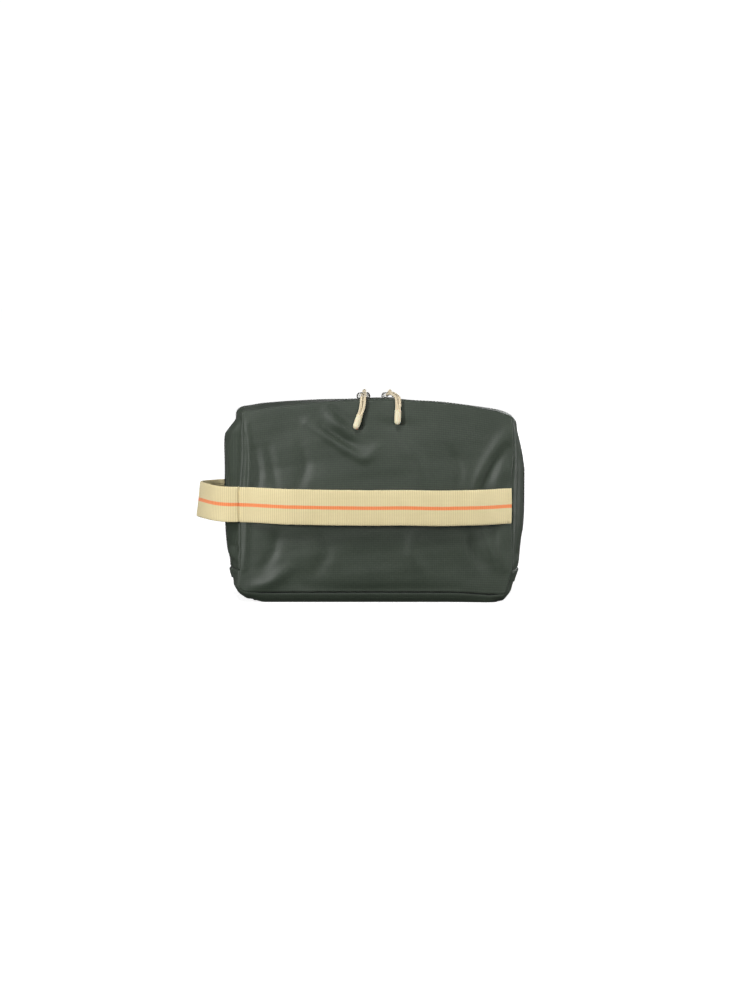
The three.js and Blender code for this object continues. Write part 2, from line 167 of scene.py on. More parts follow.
def spaced(count, start, end, crowd=0.7):
    """Values from start to end that crowd towards both ends."""
    even = np.linspace(0, 1, count)
    return lerp(start, end, lerp(even, (1 - np.cos(math.pi * even)) / 2, crowd))


def unit(v):
    return v / np.linalg.norm(v, axis=-1, keepdims=True)


def smooth_path(points, count):
    """Evenly spaced points on a centripetal Catmull-Rom curve through the given ones."""
    p = np.array(points, float)
    p = np.vstack([2 * p[0] - p[1], p, 2 * p[-1] - p[-2]])
    dense = []
    for a, b, c, d in zip(p, p[1:], p[2:], p[3:]):
        knots = np.cumsum([0, *(np.linalg.norm(q - r) ** 0.5 for q, r in ((b, a), (c, b), (d, c)))])
        t = np.linspace(knots[1], knots[2], 30)[:, None]

        def between(first, second, i, j):
            return ((knots[j] - t) * first + (t - knots[i]) * second) / (knots[j] - knots[i])

        ab, bc, cd = between(a, b, 0, 1), between(b, c, 1, 2), between(c, d, 2, 3)
        dense.append(between(between(ab, bc, 0, 2), between(bc, cd, 1, 3), 1, 2)[:-1])
    dense = np.vstack([*dense, p[-2][None]])
    return resample(dense, count)


def lengths(points):
    return np.concatenate([[0], np.cumsum(np.linalg.norm(np.diff(points, axis=0), axis=1))])


def interpolated(wanted, at, values):
    """Rows of values at the wanted distances, from the rows that are known."""
    return np.stack([np.interp(wanted, at, column) for column in values.T], axis=1)


def resample(points, count):
    at = lengths(points)
    return interpolated(np.linspace(0, at[-1], count), at, points)


# ---------------------------------------------------------------- meshes


class Shape:
    """Points, faces and metric cloth coordinates, gathered from closed shells."""

    def __init__(self):
        self.points, self.weave, self.faces, self.flat = [], [], [], []
        self.count = 0

    def add(self, points, faces, weave=None, flat=()):
        points = np.asarray(points, float).reshape(-1, 3)
        faces = [tuple(int(i) for i in face) for face in faces]
        if signed_volume(points, faces) < 0:
            faces = [face[::-1] for face in faces]
        self.flat += [len(self.faces) + i for i in flat]
        self.faces += [tuple(i + self.count for i in face) for face in faces]
        self.points.append(points)
        weave = points if weave is None else np.asarray(weave, float).reshape(len(points), -1)
        padded = np.zeros((len(points), 3))
        padded[:, : weave.shape[1]] = weave
        self.weave.append(padded)
        self.count += len(points)
        return self

    def build(self, name, material, slot):
        mesh = bpy.data.meshes.new(name)
        mesh.from_pydata(np.vstack(self.points).tolist(), [], self.faces)
        smooth = np.ones(len(self.faces), bool)
        smooth[self.flat] = False
        mesh.polygons.foreach_set("use_smooth", smooth)
        weave = mesh.attributes.new("weave", "FLOAT_VECTOR", "POINT")
        weave.data.foreach_set("vector", np.vstack(self.weave).astype(np.float32).ravel())
        mesh.materials.append(material)
        made = bpy.data.objects.new(name, mesh)
        bpy.context.scene.collection.objects.link(made)
        return made


def signed_volume(points, faces):
    corners = [(f[0], f[i], f[i + 1]) for f in faces for i in range(1, len(f) - 1)]
    a, b, c = points[np.array(corners).T]
    return np.einsum("ij,ij->i", a, np.cross(b, c)).sum()


def quads(rows, columns, first=0):
    """The faces of a grid of points, row by row."""
    at = first + np.arange(rows * columns).reshape(rows, columns)
    corners = (at[:-1, :-1], at[1:, :-1], at[1:, 1:], at[:-1, 1:])
    return np.stack([c.ravel() for c in corners], axis=1)


def shell(outer, inner, weave=None):
    """A closed thin shell between two grids of points: what Shape.add takes."""
    rows, columns = outer.shape[:2]
    size = rows * columns
    at = np.arange(size).reshape(rows, columns)
    sheet = quads(rows, columns)
    rim = np.concatenate([at[0, :-1], at[:-1, -1], at[-1, :0:-1], at[:0:-1, 0]])
    after = np.roll(rim, -1)
    edge = np.stack([rim, after, after + size, rim + size], axis=1)
    faces = np.vstack([sheet, sheet[:, ::-1] + size, edge])
    flat = range(2 * len(sheet), len(faces))
    if weave is None:
        weave = np.dstack([
            np.cumsum(np.linalg.norm(np.diff(outer, axis=1, prepend=outer[:, :1]), axis=2), axis=1),
            np.cumsum(np.linalg.norm(np.diff(outer, axis=0, prepend=outer[:1]), axis=2), axis=0),
        ])
    both = np.concatenate([weave.reshape(size, -1)] * 2)
    points = np.concatenate([outer.reshape(-1, 3), inner.reshape(-1, 3)])
    return points, faces, both, flat


def tube_faces(rows, count):
    """The faces of a closed tube of rings of points: its walls, then its two caps."""
    at = np.arange(rows * count).reshape(rows, count)
    after = np.roll(at, -1, axis=1)
    walls = np.stack([at[:-1], at[1:], after[1:], after[:-1]], axis=2).reshape(-1, 4)
    return [*walls, at[0][::-1], at[-1]]


def sides_along(path, up=None):
    """Two directions across a path at each point, turning as little as they can."""
    along = unit(np.gradient(path, axis=0))
    first = np.cross(along[0], up if up is not None else (0.3, 0.2, 1))
    side = [unit(first)]
    for direction in along[1:]:
        side.append(unit(side[-1] - direction * (side[-1] @ direction)))
    side = np.array(side)
    return side, np.cross(along, side)


def sweep(path, section, up=None):
    """A closed solid: a section, as points across the path, carried along the path."""
    side, over = sides_along(path, up)
    ring = section if section.ndim == 3 else np.repeat(section[None], len(path), axis=0)
    points = path[:, None] + ring[..., :1] * side[:, None] + ring[..., 1:] * over[:, None]
    count = ring.shape[1]
    faces = tube_faces(len(path), count)
    around = np.linspace(0, 1, count, endpoint=False) * 2 * math.pi * abs(ring[0]).max()
    weave = np.dstack(np.meshgrid(around, lengths(path)))
    flat = [len(faces) - 2, len(faces) - 1]
    return points, faces, weave.reshape(-1, 2), flat


def circle(radius, sides):
    angle = np.linspace(0, 2 * math.pi, sides, endpoint=False)
    return radius * np.stack([np.cos(angle), np.sin(angle)], axis=1)


# ---------------------------------------------------------------- materials


class Nodes:
    """A material's node tree, with its Principled shader."""

    def __init__(self, name, **sockets):
        self.material = bpy.data.materials.new(name)
        self.material.use_nodes = True
        self.tree = self.material.node_tree
        self.shader = self.tree.nodes["Principled BSDF"]
        for socket, value in sockets.items():
            self.shader.inputs[socket.replace("_", " ")].default_value = value

    def put(self, socket, value):
        if isinstance(value, bpy.types.NodeSocket):
            self.tree.links.new(value, socket)
        elif value is not None:
            socket.default_value = value

    def node(self, kind, output=0, inputs=(), **settings):
        made = self.tree.nodes.new("ShaderNode" + kind)
        for key, value in settings.items():
            setattr(made, key, value)
        for key, value in dict(inputs).items():
            self.put(made.inputs[key], value)
        return made.outputs[output]

    def math(self, operation, a, b=None, c=None):
        inputs = {0: a, 1: b, 2: c}
        return self.node("Math", inputs=inputs, operation=operation)

    def weave(self):
        """The cloth's own coordinates, in metres: across it, along it, and both as a vector."""
        vector = self.node("Attribute", "Vector", attribute_name="weave")
        across = self.node("SeparateXYZ", "X", {0: vector})
        return across, across.node.outputs["Y"], vector

    def bands(self, coordinate, pitch, sharpness=1.0):
        """Ribs of this pitch, from 0 in the grooves to 1 on the ribs."""
        turns = self.math("MULTIPLY", coordinate, 2 * math.pi / pitch)
        wave = self.math("MULTIPLY_ADD", self.math("SINE", turns), 0.5, 0.5)
        return self.math("POWER", wave, sharpness)

    def noise(self, vector, size, detail=3.0):
        inputs = {"Vector": vector, "Scale": 1 / size, "Detail": detail}
        return self.node("TexNoise", 0, inputs)

    def tint(self, factor, dark, light):
        """A colour between two, by a factor from 0 to 1."""
        ramp = self.node("MapRange", 0, {0: factor, 1: 0.0, 2: 1.0})
        mix = self.tree.nodes.new("ShaderNodeMix")
        mix.data_type = "RGBA"
        self.put(mix.inputs["Factor"], ramp)
        self.put(mix.inputs["A"], dark if isinstance(dark, bpy.types.NodeSocket) else (*dark, 1))
        self.put(mix.inputs["B"], light if isinstance(light, bpy.types.NodeSocket) else (*light, 1))
        return mix.outputs["Result"]

    def finish(self, colour, height=None, relief=0.1 * MM, strength=0.6, roughness=None):
        self.put(self.shader.inputs["Base Color"], colour)
        self.put(self.shader.inputs["Roughness"], roughness)
        if height is not None:
            inputs = {"Strength": strength, "Distance": relief, "Height": height}
            self.put(self.shader.inputs["Normal"], self.node("Bump", 0, inputs))
        return self.material


def srgb(red, green, blue):
    """A linear colour from the three numbers that a screen shows, 0 to 255."""
    share = np.array([red, green, blue]) / 255
    return tuple(np.where(share < 0.04045, share / 12.92, ((share + 0.055) / 1.055) ** 2.4))


def outer_cloth():
    """Fine ribbed polyester: ribs across, a finer grid along, a slight satin sheen, and painted
    shade that darkens the weave between its ribs.
    """
    m = Nodes("outer_cloth_weave", Sheen_Weight=0.08, Specular_IOR_Level=0.5)
    across, along, _ = m.weave()
    ribs = m.bands(along, 1.9 * MM, 1.4)
    warp = m.bands(across, 1.9 * MM, 1.4)
    height = m.math("MULTIPLY_ADD", warp, 0.6, ribs)
    place = m.node("TexCoord", "Object")
    shade = m.noise(place, 38 * MM)
    fibre = m.noise(place, 2.2 * MM, 3.0)
    mixed = m.math("MULTIPLY_ADD", fibre, 0.6, m.math("MULTIPLY", shade, 0.5))
    cloth = m.tint(mixed, srgb(41, 51, 41), srgb(64, 74, 60))
    # Painted shade: where the weave's bump is low, its colour goes towards a deeper green.
    painted_groove_shade = m.tint(m.math("MULTIPLY_ADD", height, 0.35, 0.55), srgb(32, 38, 33), cloth)
    rough = m.math("MULTIPLY_ADD", shade, 0.1, 0.48)
    return m.finish(painted_groove_shade, height, 0.08 * MM, 0.3, rough)


def lining_cloth():
    m = Nodes("lining_weave", Sheen_Weight=0.1, Specular_IOR_Level=0.4)
    across, along, _ = m.weave()
    height = m.math("ADD", m.bands(across, 0.7 * MM), m.bands(along, 0.7 * MM))
    shade = m.noise(m.node("TexCoord", "Object"), 22 * MM)
    colour = m.tint(shade, srgb(42, 46, 44), srgb(60, 64, 62))
    return m.finish(colour, height, 0.06 * MM, 0.4, m.math("MULTIPLY_ADD", shade, 0.1, 0.6))


def tape_cloth():
    """Black herringbone tape, with painted shade that darkens it where its weave lies low."""
    m = Nodes("zip_tape_weave", Specular_IOR_Level=0.4)
    across, along, _ = m.weave()
    folded = m.math("PINGPONG", across, 1.5 * MM)
    height = m.bands(m.math("ADD", along, folded), 0.9 * MM)
    shade = m.noise(m.node("TexCoord", "Object"), 9 * MM)
    # Painted shade: the colour darkens where the herringbone's bump is low, and also varies with
    # noise.
    colour = m.tint(m.math("MULTIPLY", shade, height), srgb(19, 21, 20), srgb(42, 46, 42))
    return m.finish(colour, height, 0.12 * MM, 0.7, m.math("MULTIPLY_ADD", shade, 0.2, 0.6))


def coil_plastic():
    m = Nodes("zip_coil_nylon", Specular_IOR_Level=0.5)
    shade = m.noise(m.node("TexCoord", "Object"), 3 * MM)
    colour = m.tint(shade, srgb(20, 22, 21), srgb(38, 41, 38))
    return m.finish(colour, shade, 0.03 * MM, 0.3, m.math("MULTIPLY_ADD", shade, 0.2, 0.3))


def slider_metal():
    """Dull nickel plate whose grey is mottled by noise: partly casting marks, partly painted
    highlights.
    """
    m = Nodes("slider_nickel", Metallic=1.0)
    place = m.node("TexCoord", "Object")
    mark = m.noise(place, 1.6 * MM, 4.0)
    broad = m.noise(place, 7 * MM)
    # Painted highlights in part: noise mottles the metal's colour from dark to light grey, besides
    # casting marks.
    marks_and_glints = m.math("MULTIPLY_ADD", mark, 0.7, m.math("MULTIPLY", broad, 0.3))
    colour = m.tint(marks_and_glints, srgb(82, 82, 81), srgb(188, 188, 184))
    rough = m.math("MULTIPLY_ADD", mark, 0.25, 0.34)
    return m.finish(colour, mark, 0.05 * MM, 0.3, rough)


def braid(name, dark, light):
    """Braided cord: two sets of strands that cross on the slant, painted lighter on the strands'
    crests and darker between them as painted shade.
    """
    m = Nodes(name, Sheen_Weight=0.3, Specular_IOR_Level=0.35)
    around, along, _ = m.weave()
    one = m.bands(m.math("ADD", along, around), 1.3 * MM)
    other = m.bands(m.math("SUBTRACT", along, around), 1.3 * MM)
    height = m.math("MAXIMUM", one, other)
    fibre = m.noise(m.node("TexCoord", "Object"), 0.6 * MM)
    # Painted shade: mostly from the braid's bump, lighter on the crests and darker between strands,
    # with some fibre noise.
    shade = m.math("MULTIPLY_ADD", fibre, 0.3, m.math("MULTIPLY", height, 0.7))
    return m.finish(m.tint(shade, dark, light), height, 0.2 * MM, 0.8, 0.75)


def tip_plastic():
    m = Nodes("pull_tip_plastic", Specular_IOR_Level=0.5, Subsurface_Weight=0.1)
    place = m.node("TexCoord", "Object")
    shade = m.noise(place, 5 * MM)
    grain = m.noise(place, 0.5 * MM)
    colour = m.tint(shade, srgb(226, 208, 172), srgb(238, 224, 192))
    return m.finish(colour, grain, 0.04 * MM, 0.4, m.math("MULTIPLY_ADD", shade, 0.15, 0.42))


WEBBING_WIDTH = 30 * MM
STRIPE_WIDTH = 2.9 * MM
RIB_PITCH = 1.9 * MM


def webbing_weave():
    """Beige webbing: a rib at each weft, fine warp lines and an orange stripe in the middle, with
    painted shade that darkens it between the ribs.
    """
    m = Nodes("webbing_weave", Sheen_Weight=0.25, Specular_IOR_Level=0.3)
    across, along, vector = m.weave()
    ribs = m.bands(along, RIB_PITCH, 0.8)
    warp = m.bands(across, 1.1 * MM)
    height = m.math("MULTIPLY_ADD", warp, 0.4, ribs)
    shade = m.noise(m.node("TexCoord", "Object"), 16 * MM)
    fibre = m.noise(vector, 1.1 * MM)
    mixed = m.math("MULTIPLY_ADD", fibre, 0.4, m.math("MULTIPLY", shade, 0.6))
    beige = m.tint(mixed, srgb(215, 200, 153), srgb(242, 229, 184))
    # Painted shade: the beige darkens where the ribs' bump is low.
    painted_groove_shade = m.tint(m.math("MULTIPLY_ADD", height, 0.5, 0.4), srgb(192, 174, 128), beige)
    from_middle = m.math("ABSOLUTE", m.math("SUBTRACT", across, WEBBING_WIDTH / 2))
    stripe = m.math("LESS_THAN", from_middle, STRIPE_WIDTH / 2)
    # Painted shade: the stripe's orange is lighter on the ribs and darker between them.
    orange = m.tint(height, srgb(226, 122, 68), srgb(246, 150, 96))
    return m.finish(m.tint(stripe, painted_groove_shade, orange), height, 0.14 * MM, 0.45, 0.8)


def thread(name, dark, light):
    m = Nodes(name, Sheen_Weight=0.2)
    around, along, _ = m.weave()
    twist = m.bands(m.math("MULTIPLY_ADD", around, 1.2, along), 0.6 * MM)
    # Painted shade: the thread's colour darkens between the turns of its twist.
    return m.finish(m.tint(twist, dark, light), twist, 0.06 * MM, 0.8, 0.6)


def mesh_cloth():
    """Dark pocket net, drawn as a fine grid of threads."""
    m = Nodes("pocket_net", Specular_IOR_Level=0.3)
    across, along, _ = m.weave()
    grid = m.math("MAXIMUM", m.bands(across, 1.6 * MM, 3.0), m.bands(along, 1.6 * MM, 3.0))
    return m.finish(m.tint(grid, srgb(16, 18, 17), srgb(52, 57, 54)), grid, 0.25 * MM, 0.8, 0.75)


def board_plastic():
    m = Nodes("board_plastic")
    grain = m.noise(m.node("TexCoord", "Object"), 1.2 * MM)
    return m.finish(m.tint(grain, srgb(28, 28, 28), srgb(46, 46, 46)), grain, 0.1 * MM, 0.5, 0.7)


OUTER = outer_cloth()
LINED = lining_cloth()
TAPED = tape_cloth()
COIL = coil_plastic()
NICKEL = slider_metal()
CORD = braid("pull_cord_braid", srgb(190, 170, 130), srgb(240, 226, 196))
TIP = tip_plastic()
WEBBED = webbing_weave()
GREEN_THREAD = thread("green_thread", srgb(46, 52, 46), srgb(92, 100, 90))
BEIGE_THREAD = thread("beige_thread", srgb(178, 160, 120), srgb(236, 222, 184))
NET = mesh_cloth()
BOARD = board_plastic()

# ---------------------------------------------------------------- the bag's form


def fall(x):
    slope = np.where(x < 0, FALL["left"], FALL["right"])
    return slope * (np.hypot(x, FALL_ROUNDING) - FALL_ROUNDING)


# All the pairs below are in millimetres.
# How much further the top drops near its ends: (x, drop), at the seams and at the zip.
SEAM_DROP = (
    (-120, 4.8), (-108, 4.4), (-93, 3.4), (-76, 1.9), (-50, 0.4), (-20, 0), (30, -1.2),
    (50, -1.8), (79, -0.7), (94, 0.6), (105, 1.8), (115, 4.4), (120, 5.4),
)
ZIP_DROP = (
    (-130, 4), (-122, 2.6), (-110, 1.6), (-97, 0.2), (-75, -0.5), (-50, -0.7), (-20, 0), (25, 0),
    (55, -1), (85, 0), (101, 0.8), (110, 2.6), (119, 6),
)
# How far each side seam stands outside its straight line: (height, shift).
SEAM_SHIFT = {
    -1: ((0, 1), (15, 2.2), (40, 0.5), (68, 0.4), (85, 0.9), (102, -1.2), (130, -2.9), (165, -2.2)),
    1: (
        (0, -6.2), (4, -5.6), (9, -4.6), (19, -2), (29, 0.6), (60, 0.3), (100, 0), (128, 1.4),
        (146, 1), (160, -0.2),
    ),
}
# How far each side stands out past its back seam: (height before settling, bulge).
SIDE_BULGE = {
    -1: (
        (28, 7.8), (35, 8.6), (46, 11.2), (67, 12.8), (89, 13.4), (115, 15.2), (143, 16.8),
        (153, 16), (159, 12), (167, 6),
    ),
    1: (
        (28, 4.8), (35, 5.6), (47, 6.6), (58, 7.8), (69, 9.4), (88, 10.4), (113, 10.6),
        (124, 10.2), (136, 8.2), (152, 5.4), (167, 3),
    ),
}
# The same round the foot corners, from the side (0) to the base (1).
FOOT_BULGE = {-1: ((0, 4.6), (0.35, 3.8), (0.75, 4), (1, 5.4)), 1: ((0, 4.4), (0.5, 3.4), (1, 4.6))}
FOOT_DROP = 3 * MM  # how much lower the right end of the bottom seam hangs
DROP_FROM = 60 * MM  # where along the seam that starts
DROP_OVER = 50 * MM  # how far along it grows
DROP_HEIGHT = 30 * MM  # how far up the bag it still shows


def settled(x, y, z):
    """The bag's soft form: its top falls away to both sides, and its side seams bow."""
    x, y, z = np.broadcast_arrays(*(np.asarray(v, float) for v in (x, y, z)))
    share = np.clip((z - FOLD) / (BACK_TOP - FOLD), 0, None)
    to_seam = np.minimum(y - BACK, FRONT - y) / (ZIP_Y - BACK)
    from_seam = smoothstep(to_seam)
    drop = lerp(profile(x / MM, SEAM_DROP), profile(x / MM, ZIP_DROP), from_seam) * MM
    low_right = smoothstep((x - DROP_FROM) / DROP_OVER) * np.clip(1 - z / DROP_HEIGHT, 0, 1)
    z = z - (fall(x) + drop) * share - FOOT_DROP * low_right
    shift = np.where(x < 0, profile(z / MM, SEAM_SHIFT[-1]), profile(z / MM, SEAM_SHIFT[1])) * MM
    reach = np.minimum(np.abs(x) / HALF_WIDTH, 1) ** 4
    return np.stack([x + np.sign(x) * shift * reach, y, z], axis=-1)


def stations(*arrays):
    return np.stack(np.broadcast_arrays(*arrays), axis=-1)


def corner_arc(sign, cz, radius, turn, bulges, count):
    """A quarter turn from a side (at 0) to the top or, with turn -1, to the base."""
    h = np.linspace(0, 1, count)
    angle = h * math.pi / 2
    nx, nz = sign * np.cos(angle), turn * np.sin(angle)
    cx = sign * (HALF_WIDTH - radius)
    return stations(cx + radius * nx, cz + radius * nz, nx, nz, profile(h, bulges) * MM)


def mouth_run(top, extra):
    """The outline above the fold, from the right side over the top to the left side."""

    def half(sign):
        radius = TOP_CORNER[sign] + extra
        cz = top - radius
        h = np.linspace(0, 1, 72)
        tall = profile(lerp(FOLD, BACK_TOP - radius, h) / MM, SIDE_BULGE[sign]) * MM
        side = stations(sign * HALF_WIDTH, lerp(FOLD, cz, h), sign, 0.0, tall)
        bulges = ((0, SIDE_BULGE[sign][-1][1]), (1, TOP_BULGE / MM))
        arc = corner_arc(sign, cz, radius, 1, bulges, 9)
        x = sign * np.linspace(HALF_WIDTH - radius, 0, 60)
        across = stations(x, top, 0.0, 1.0, TOP_BULGE)
        return np.concatenate([side, arc[1:], across[1:]])

    return np.concatenate([half(1), half(-1)[-2::-1]])


def base_run(extra):
    """The outline below the fold, from the left side under the base to the right side."""

    def half(sign):
        radius = FOOT_CORNER[sign] + extra
        cz = PANEL_FOOT + radius
        fold = SIDE_BULGE[sign][0][1] * MM
        h = np.linspace(0, 1, 14)
        tall = lerp(fold, FOOT_BULGE[sign][0][1] * MM, smoothstep(h))
        side = stations(sign * HALF_WIDTH, lerp(FOLD, cz, h), sign, 0.0, tall)
        arc = corner_arc(sign, cz, radius, -1, FOOT_BULGE[sign], 16)
        x = np.linspace(HALF_WIDTH - radius, 0, 40)
        inward = (HALF_WIDTH - radius - x) / (14 * MM)
        flat = lerp(FOOT_BULGE[sign][-1][1] * MM, PANEL_FOOT, smoothstep(inward))
        across = stations(sign * x, PANEL_FOOT, 0.0, -1.0, flat)
        return np.concatenate([side, arc[1:], across[1:]])

    return np.concatenate([half(-1), half(1)[-2::-1]])


def bulge_share(t, down):
    """Share of the bulge at depth t: the sides stand out most at the zip, the base is flat."""
    behind_zip = np.clip((t - ZIP_T) / (1 - ZIP_T), 0, 1)
    to_zip = np.clip(t / ZIP_T, 0, 1)
    peaked = np.where(t < ZIP_T, np.sin(math.pi / 2 * to_zip), 1 - behind_zip**1.7)
    from_edge = np.minimum(np.minimum(t, 1 - t), BASE_EDGE) / BASE_EDGE
    flat = np.sin(math.pi / 2 * from_edge)
    return lerp(peaked, flat, down)


NOTCH = 0.8 * MM  # radius of the cloth's turn into the seam that crosses each side at the fold
FLOOR_GAP = 0.3 * MM
DEEP = 6 * MM  # the bindings, deep inside the corners, take wider turns
RUNS = {
    "mouth": (mouth_run(BACK_TOP, 0), mouth_run(FRONT_TOP, 0)),
    "base": (base_run(0), base_run(0)),
    "deep_mouth": (mouth_run(BACK_TOP, DEEP), mouth_run(FRONT_TOP, DEEP)),
    "deep_base": (base_run(DEEP), base_run(DEEP)),
}


def run_length(run):
    return lengths(RUNS[run][0][:, :2])


def gusset_points(run, t, depth=0.0, wrinkle=1.0):
    """Points of a gusset layer: one row for each station of the run, one column for each t."""
    back, front = RUNS[run]
    t = np.asarray(t, float)[None]
    a, b = back[:, None], front[:, None]
    down = np.maximum(0, -a[..., 3])
    y = lerp(BACK, FRONT, t)
    seam = turn_in(np.minimum(y - BACK, FRONT - y))
    along = run_length(run)
    cross_seam = np.minimum(along - along[0], along[-1] - along)[:, None]
    notch = turn_in(cross_seam + NOTCH, NOTCH)
    out = a[..., 4] * bulge_share(t, down) - seam - notch - depth
    out = out + wrinkle * gusset_wrinkles(along[:, None], y, a)
    x = a[..., 0] + a[..., 2] * out
    z = lerp(a[..., 1], b[..., 1], t) + a[..., 3] * out
    points = settled(x, y, z)
    points[..., 2] = np.maximum(points[..., 2], FLOOR_GAP + depth)
    return points


# The side gussets' creases, as (distance from the back seam, height before settling).
GUSSET_CREASES = {
    -1: (
        (((3.5, 166), (5, 140), (5.5, 112), (5, 98)), 2.2, -1.1),
        (((8, 160), (11, 136), (12, 110), (11, 100)), 3.2, 1.0),
        (((16, 156), (18, 130), (17, 104)), 3.0, -0.8),
        (((2, 46), (10, 50), (20, 49)), 3.0, -1.3),
        (((1, 37), (10, 40), (22, 42)), 2.6, 1.2),
        (((4, 64), (7, 52), (8, 40)), 2.4, -0.8),
    ),
    1: (
        (((3, 160), (4, 130), (4.5, 100), (4, 60), (3, 36)), 2.2, 1.0),
        (((8, 150), (9, 125), (9, 95), (8, 60)), 2.4, -0.9),
        (((2, 40), (10, 44), (22, 40)), 2.6, -1.0),
        (((2, 34), (12, 36), (24, 34)), 2.4, 0.9),
    ),
}


def gusset_wrinkles(along, y, station):
    """Soft creases across the gusset, strongest at its seams, and none where the zip runs."""
    from_zip = smoothstep((np.abs(y - ZIP_Y) - 6 * MM) / (7 * MM))
    from_seam = np.maximum(np.minimum(y - BACK, FRONT - y), 0)
    near = np.exp(-from_seam / (8 * MM))
    pucker = waves(along, 0.25 * y, 11 * MM, 5) * near * 0.2 * MM
    broad = waves(along, y, 46 * MM, 8) * 0.8 * MM * (1 - near)
    flat = 1 - 0.8 * np.maximum(0, -station[..., 3])
    side, height = station[..., 2], station[..., 1]
    folds = sum(
        np.maximum(0, side * sign) * crease(y - BACK, height + 0 * y, *line)
        for sign, lines in GUSSET_CREASES.items()
        for line in lines
    )
    return ((pucker + broad) * flat + folds) * from_zip


def crease(x, z, points, width, height):
    """A soft ridge, or a dip if height is negative, along a line given in millimetres."""
    x, z = np.broadcast_arrays(x, z)
    line = smooth_path(np.array(points, float) * MM, 24)
    step = np.diff(line, axis=0)
    u = x[..., None] - line[:-1, 0]
    v = z[..., None] - line[:-1, 1]
    share = np.clip((u * step[:, 0] + v * step[:, 1]) / (step**2).sum(axis=1), 0, 1)
    away = np.hypot(u - share * step[:, 0], v - share * step[:, 1])
    closest = away.argmin(axis=-1)[..., None]
    nearest = (closest + np.take_along_axis(share, closest, -1))[..., 0] / len(step)
    taper = np.sin(math.pi * np.clip(0.12 + 0.76 * nearest, 0, 1))
    return height * MM * taper * np.exp(-((away.min(axis=-1) / (width * MM)) ** 2))


def edge_distance(x, z, top):
    """Distance inward from the panel's outline, a rectangle with rounded corners."""
    middle = (PANEL_FOOT + top) / 2
    upper = np.where(x < 0, TOP_CORNER[-1], TOP_CORNER[1])
    lower = np.where(x < 0, FOOT_CORNER[-1], FOOT_CORNER[1])
    radius = np.where(z > middle, upper, lower)
    u = np.abs(x) - (HALF_WIDTH - radius)
    v = np.abs(z - middle) - ((top - PANEL_FOOT) / 2 - radius)
    outside = np.hypot(np.maximum(u, 0), np.maximum(v, 0))
    return radius - outside - np.minimum(np.maximum(u, v), 0)


def panel_grid(top, rows, columns, margin):
    """Where a panel's points lie on its outline's plane, as x and z, inside a margin."""
    z = spaced(rows, PANEL_FOOT + margin, top - margin)[:, None]
    across = spaced(columns, 1, -1)[None]

    def half_width(sign):
        foot, head = FOOT_CORNER[sign], TOP_CORNER[sign]
        radius = np.where(z < (PANEL_FOOT + top) / 2, foot, head)
        rise = np.maximum(0, np.maximum(PANEL_FOOT + foot - z, z - top + head))
        return HALF_WIDTH - radius + np.sqrt(np.maximum(0, (radius - margin) ** 2 - rise**2))

    x = across * np.where(across > 0, half_width(1), half_width(-1))
    return np.broadcast_arrays(x, z)


FOLD_STRENGTH = 1.6  # how much taller than their stated heights the panels' creases are

# The back panel's creases: the line, from place to place as (x, z), its half width and its height.
BACK_CREASES = (
    (((-58, 156), (-40, 143), (-24, 131), (-10, 124), (0, 131)), 4.5, 1.5),
    (((-46, 152), (-30, 141), (-14, 133)), 3.5, -1.2),
    (((-42, 165), (-33, 154), (-22, 145)), 4.0, 1.0),
    (((-36, 168), (-24, 157), (-12, 150)), 4.0, -0.9),
    (((112, 158), (100, 138), (90, 116), (83, 96)), 5.5, 1.7),
    (((108, 142), (99, 126), (91, 107), (88, 94)), 4.5, -1.5),
    (((108, 128), (104, 112), (103, 98)), 5.0, 1.1),
    (((-111, 160), (-110, 130), (-109, 100), (-110, 60), (-111, 30)), 3.0, 0.9),
    (((-113, 150), (-112.5, 120), (-112.5, 96)), 2.2, -0.7),
    (((-104, 136), (-100, 116), (-101, 98)), 3.6, -0.7),
    (((-92, 138), (-88, 118), (-84, 100)), 4.0, -0.6),
    (((-74, 30), (-88, 19), (-104, 13)), 6.0, 1.6),
    (((-84, 60), (-88, 42), (-96, 30)), 5.0, -0.9),
    (((-64, 136), (-60, 118), (-66, 100)), 5.0, -0.8),
    (((20, 140), (34, 124), (40, 104)), 6.0, 0.7),
    (((62, 132), (70, 116), (68, 100)), 5.0, -0.8),
    (((-48, 62), (-42, 44), (-52, 26)), 6.0, -0.8),
    (((34, 64), (30, 44), (40, 26)), 6.0, 0.8),
    (((88, 66), (95, 48), (100, 34)), 5.0, 1.1),
    (((78, 60), (83, 46), (92, 30)), 4.5, -0.9),
    (((106, 66), (105, 48), (108, 30)), 3.5, 0.8),
    (((-60, 13), (0, 11), (70, 13)), 5.0, -0.9),
    (((-12, 160), (10, 152), (34, 150)), 6.0, -0.6),
)
FRONT_CREASES = (
    (((-104, 140), (-90, 112), (-84, 84)), 6.0, 1.2),
    (((100, 146), (92, 120), (88, 92)), 6.0, 1.2),
    (((-70, 26), (-90, 20), (-106, 18)), 6.0, 1.3),
    (((70, 30), (88, 22), (104, 16)), 6.0, 1.3),
    (((-20, 150), (0, 138), (24, 148)), 6.0, -0.9),
)


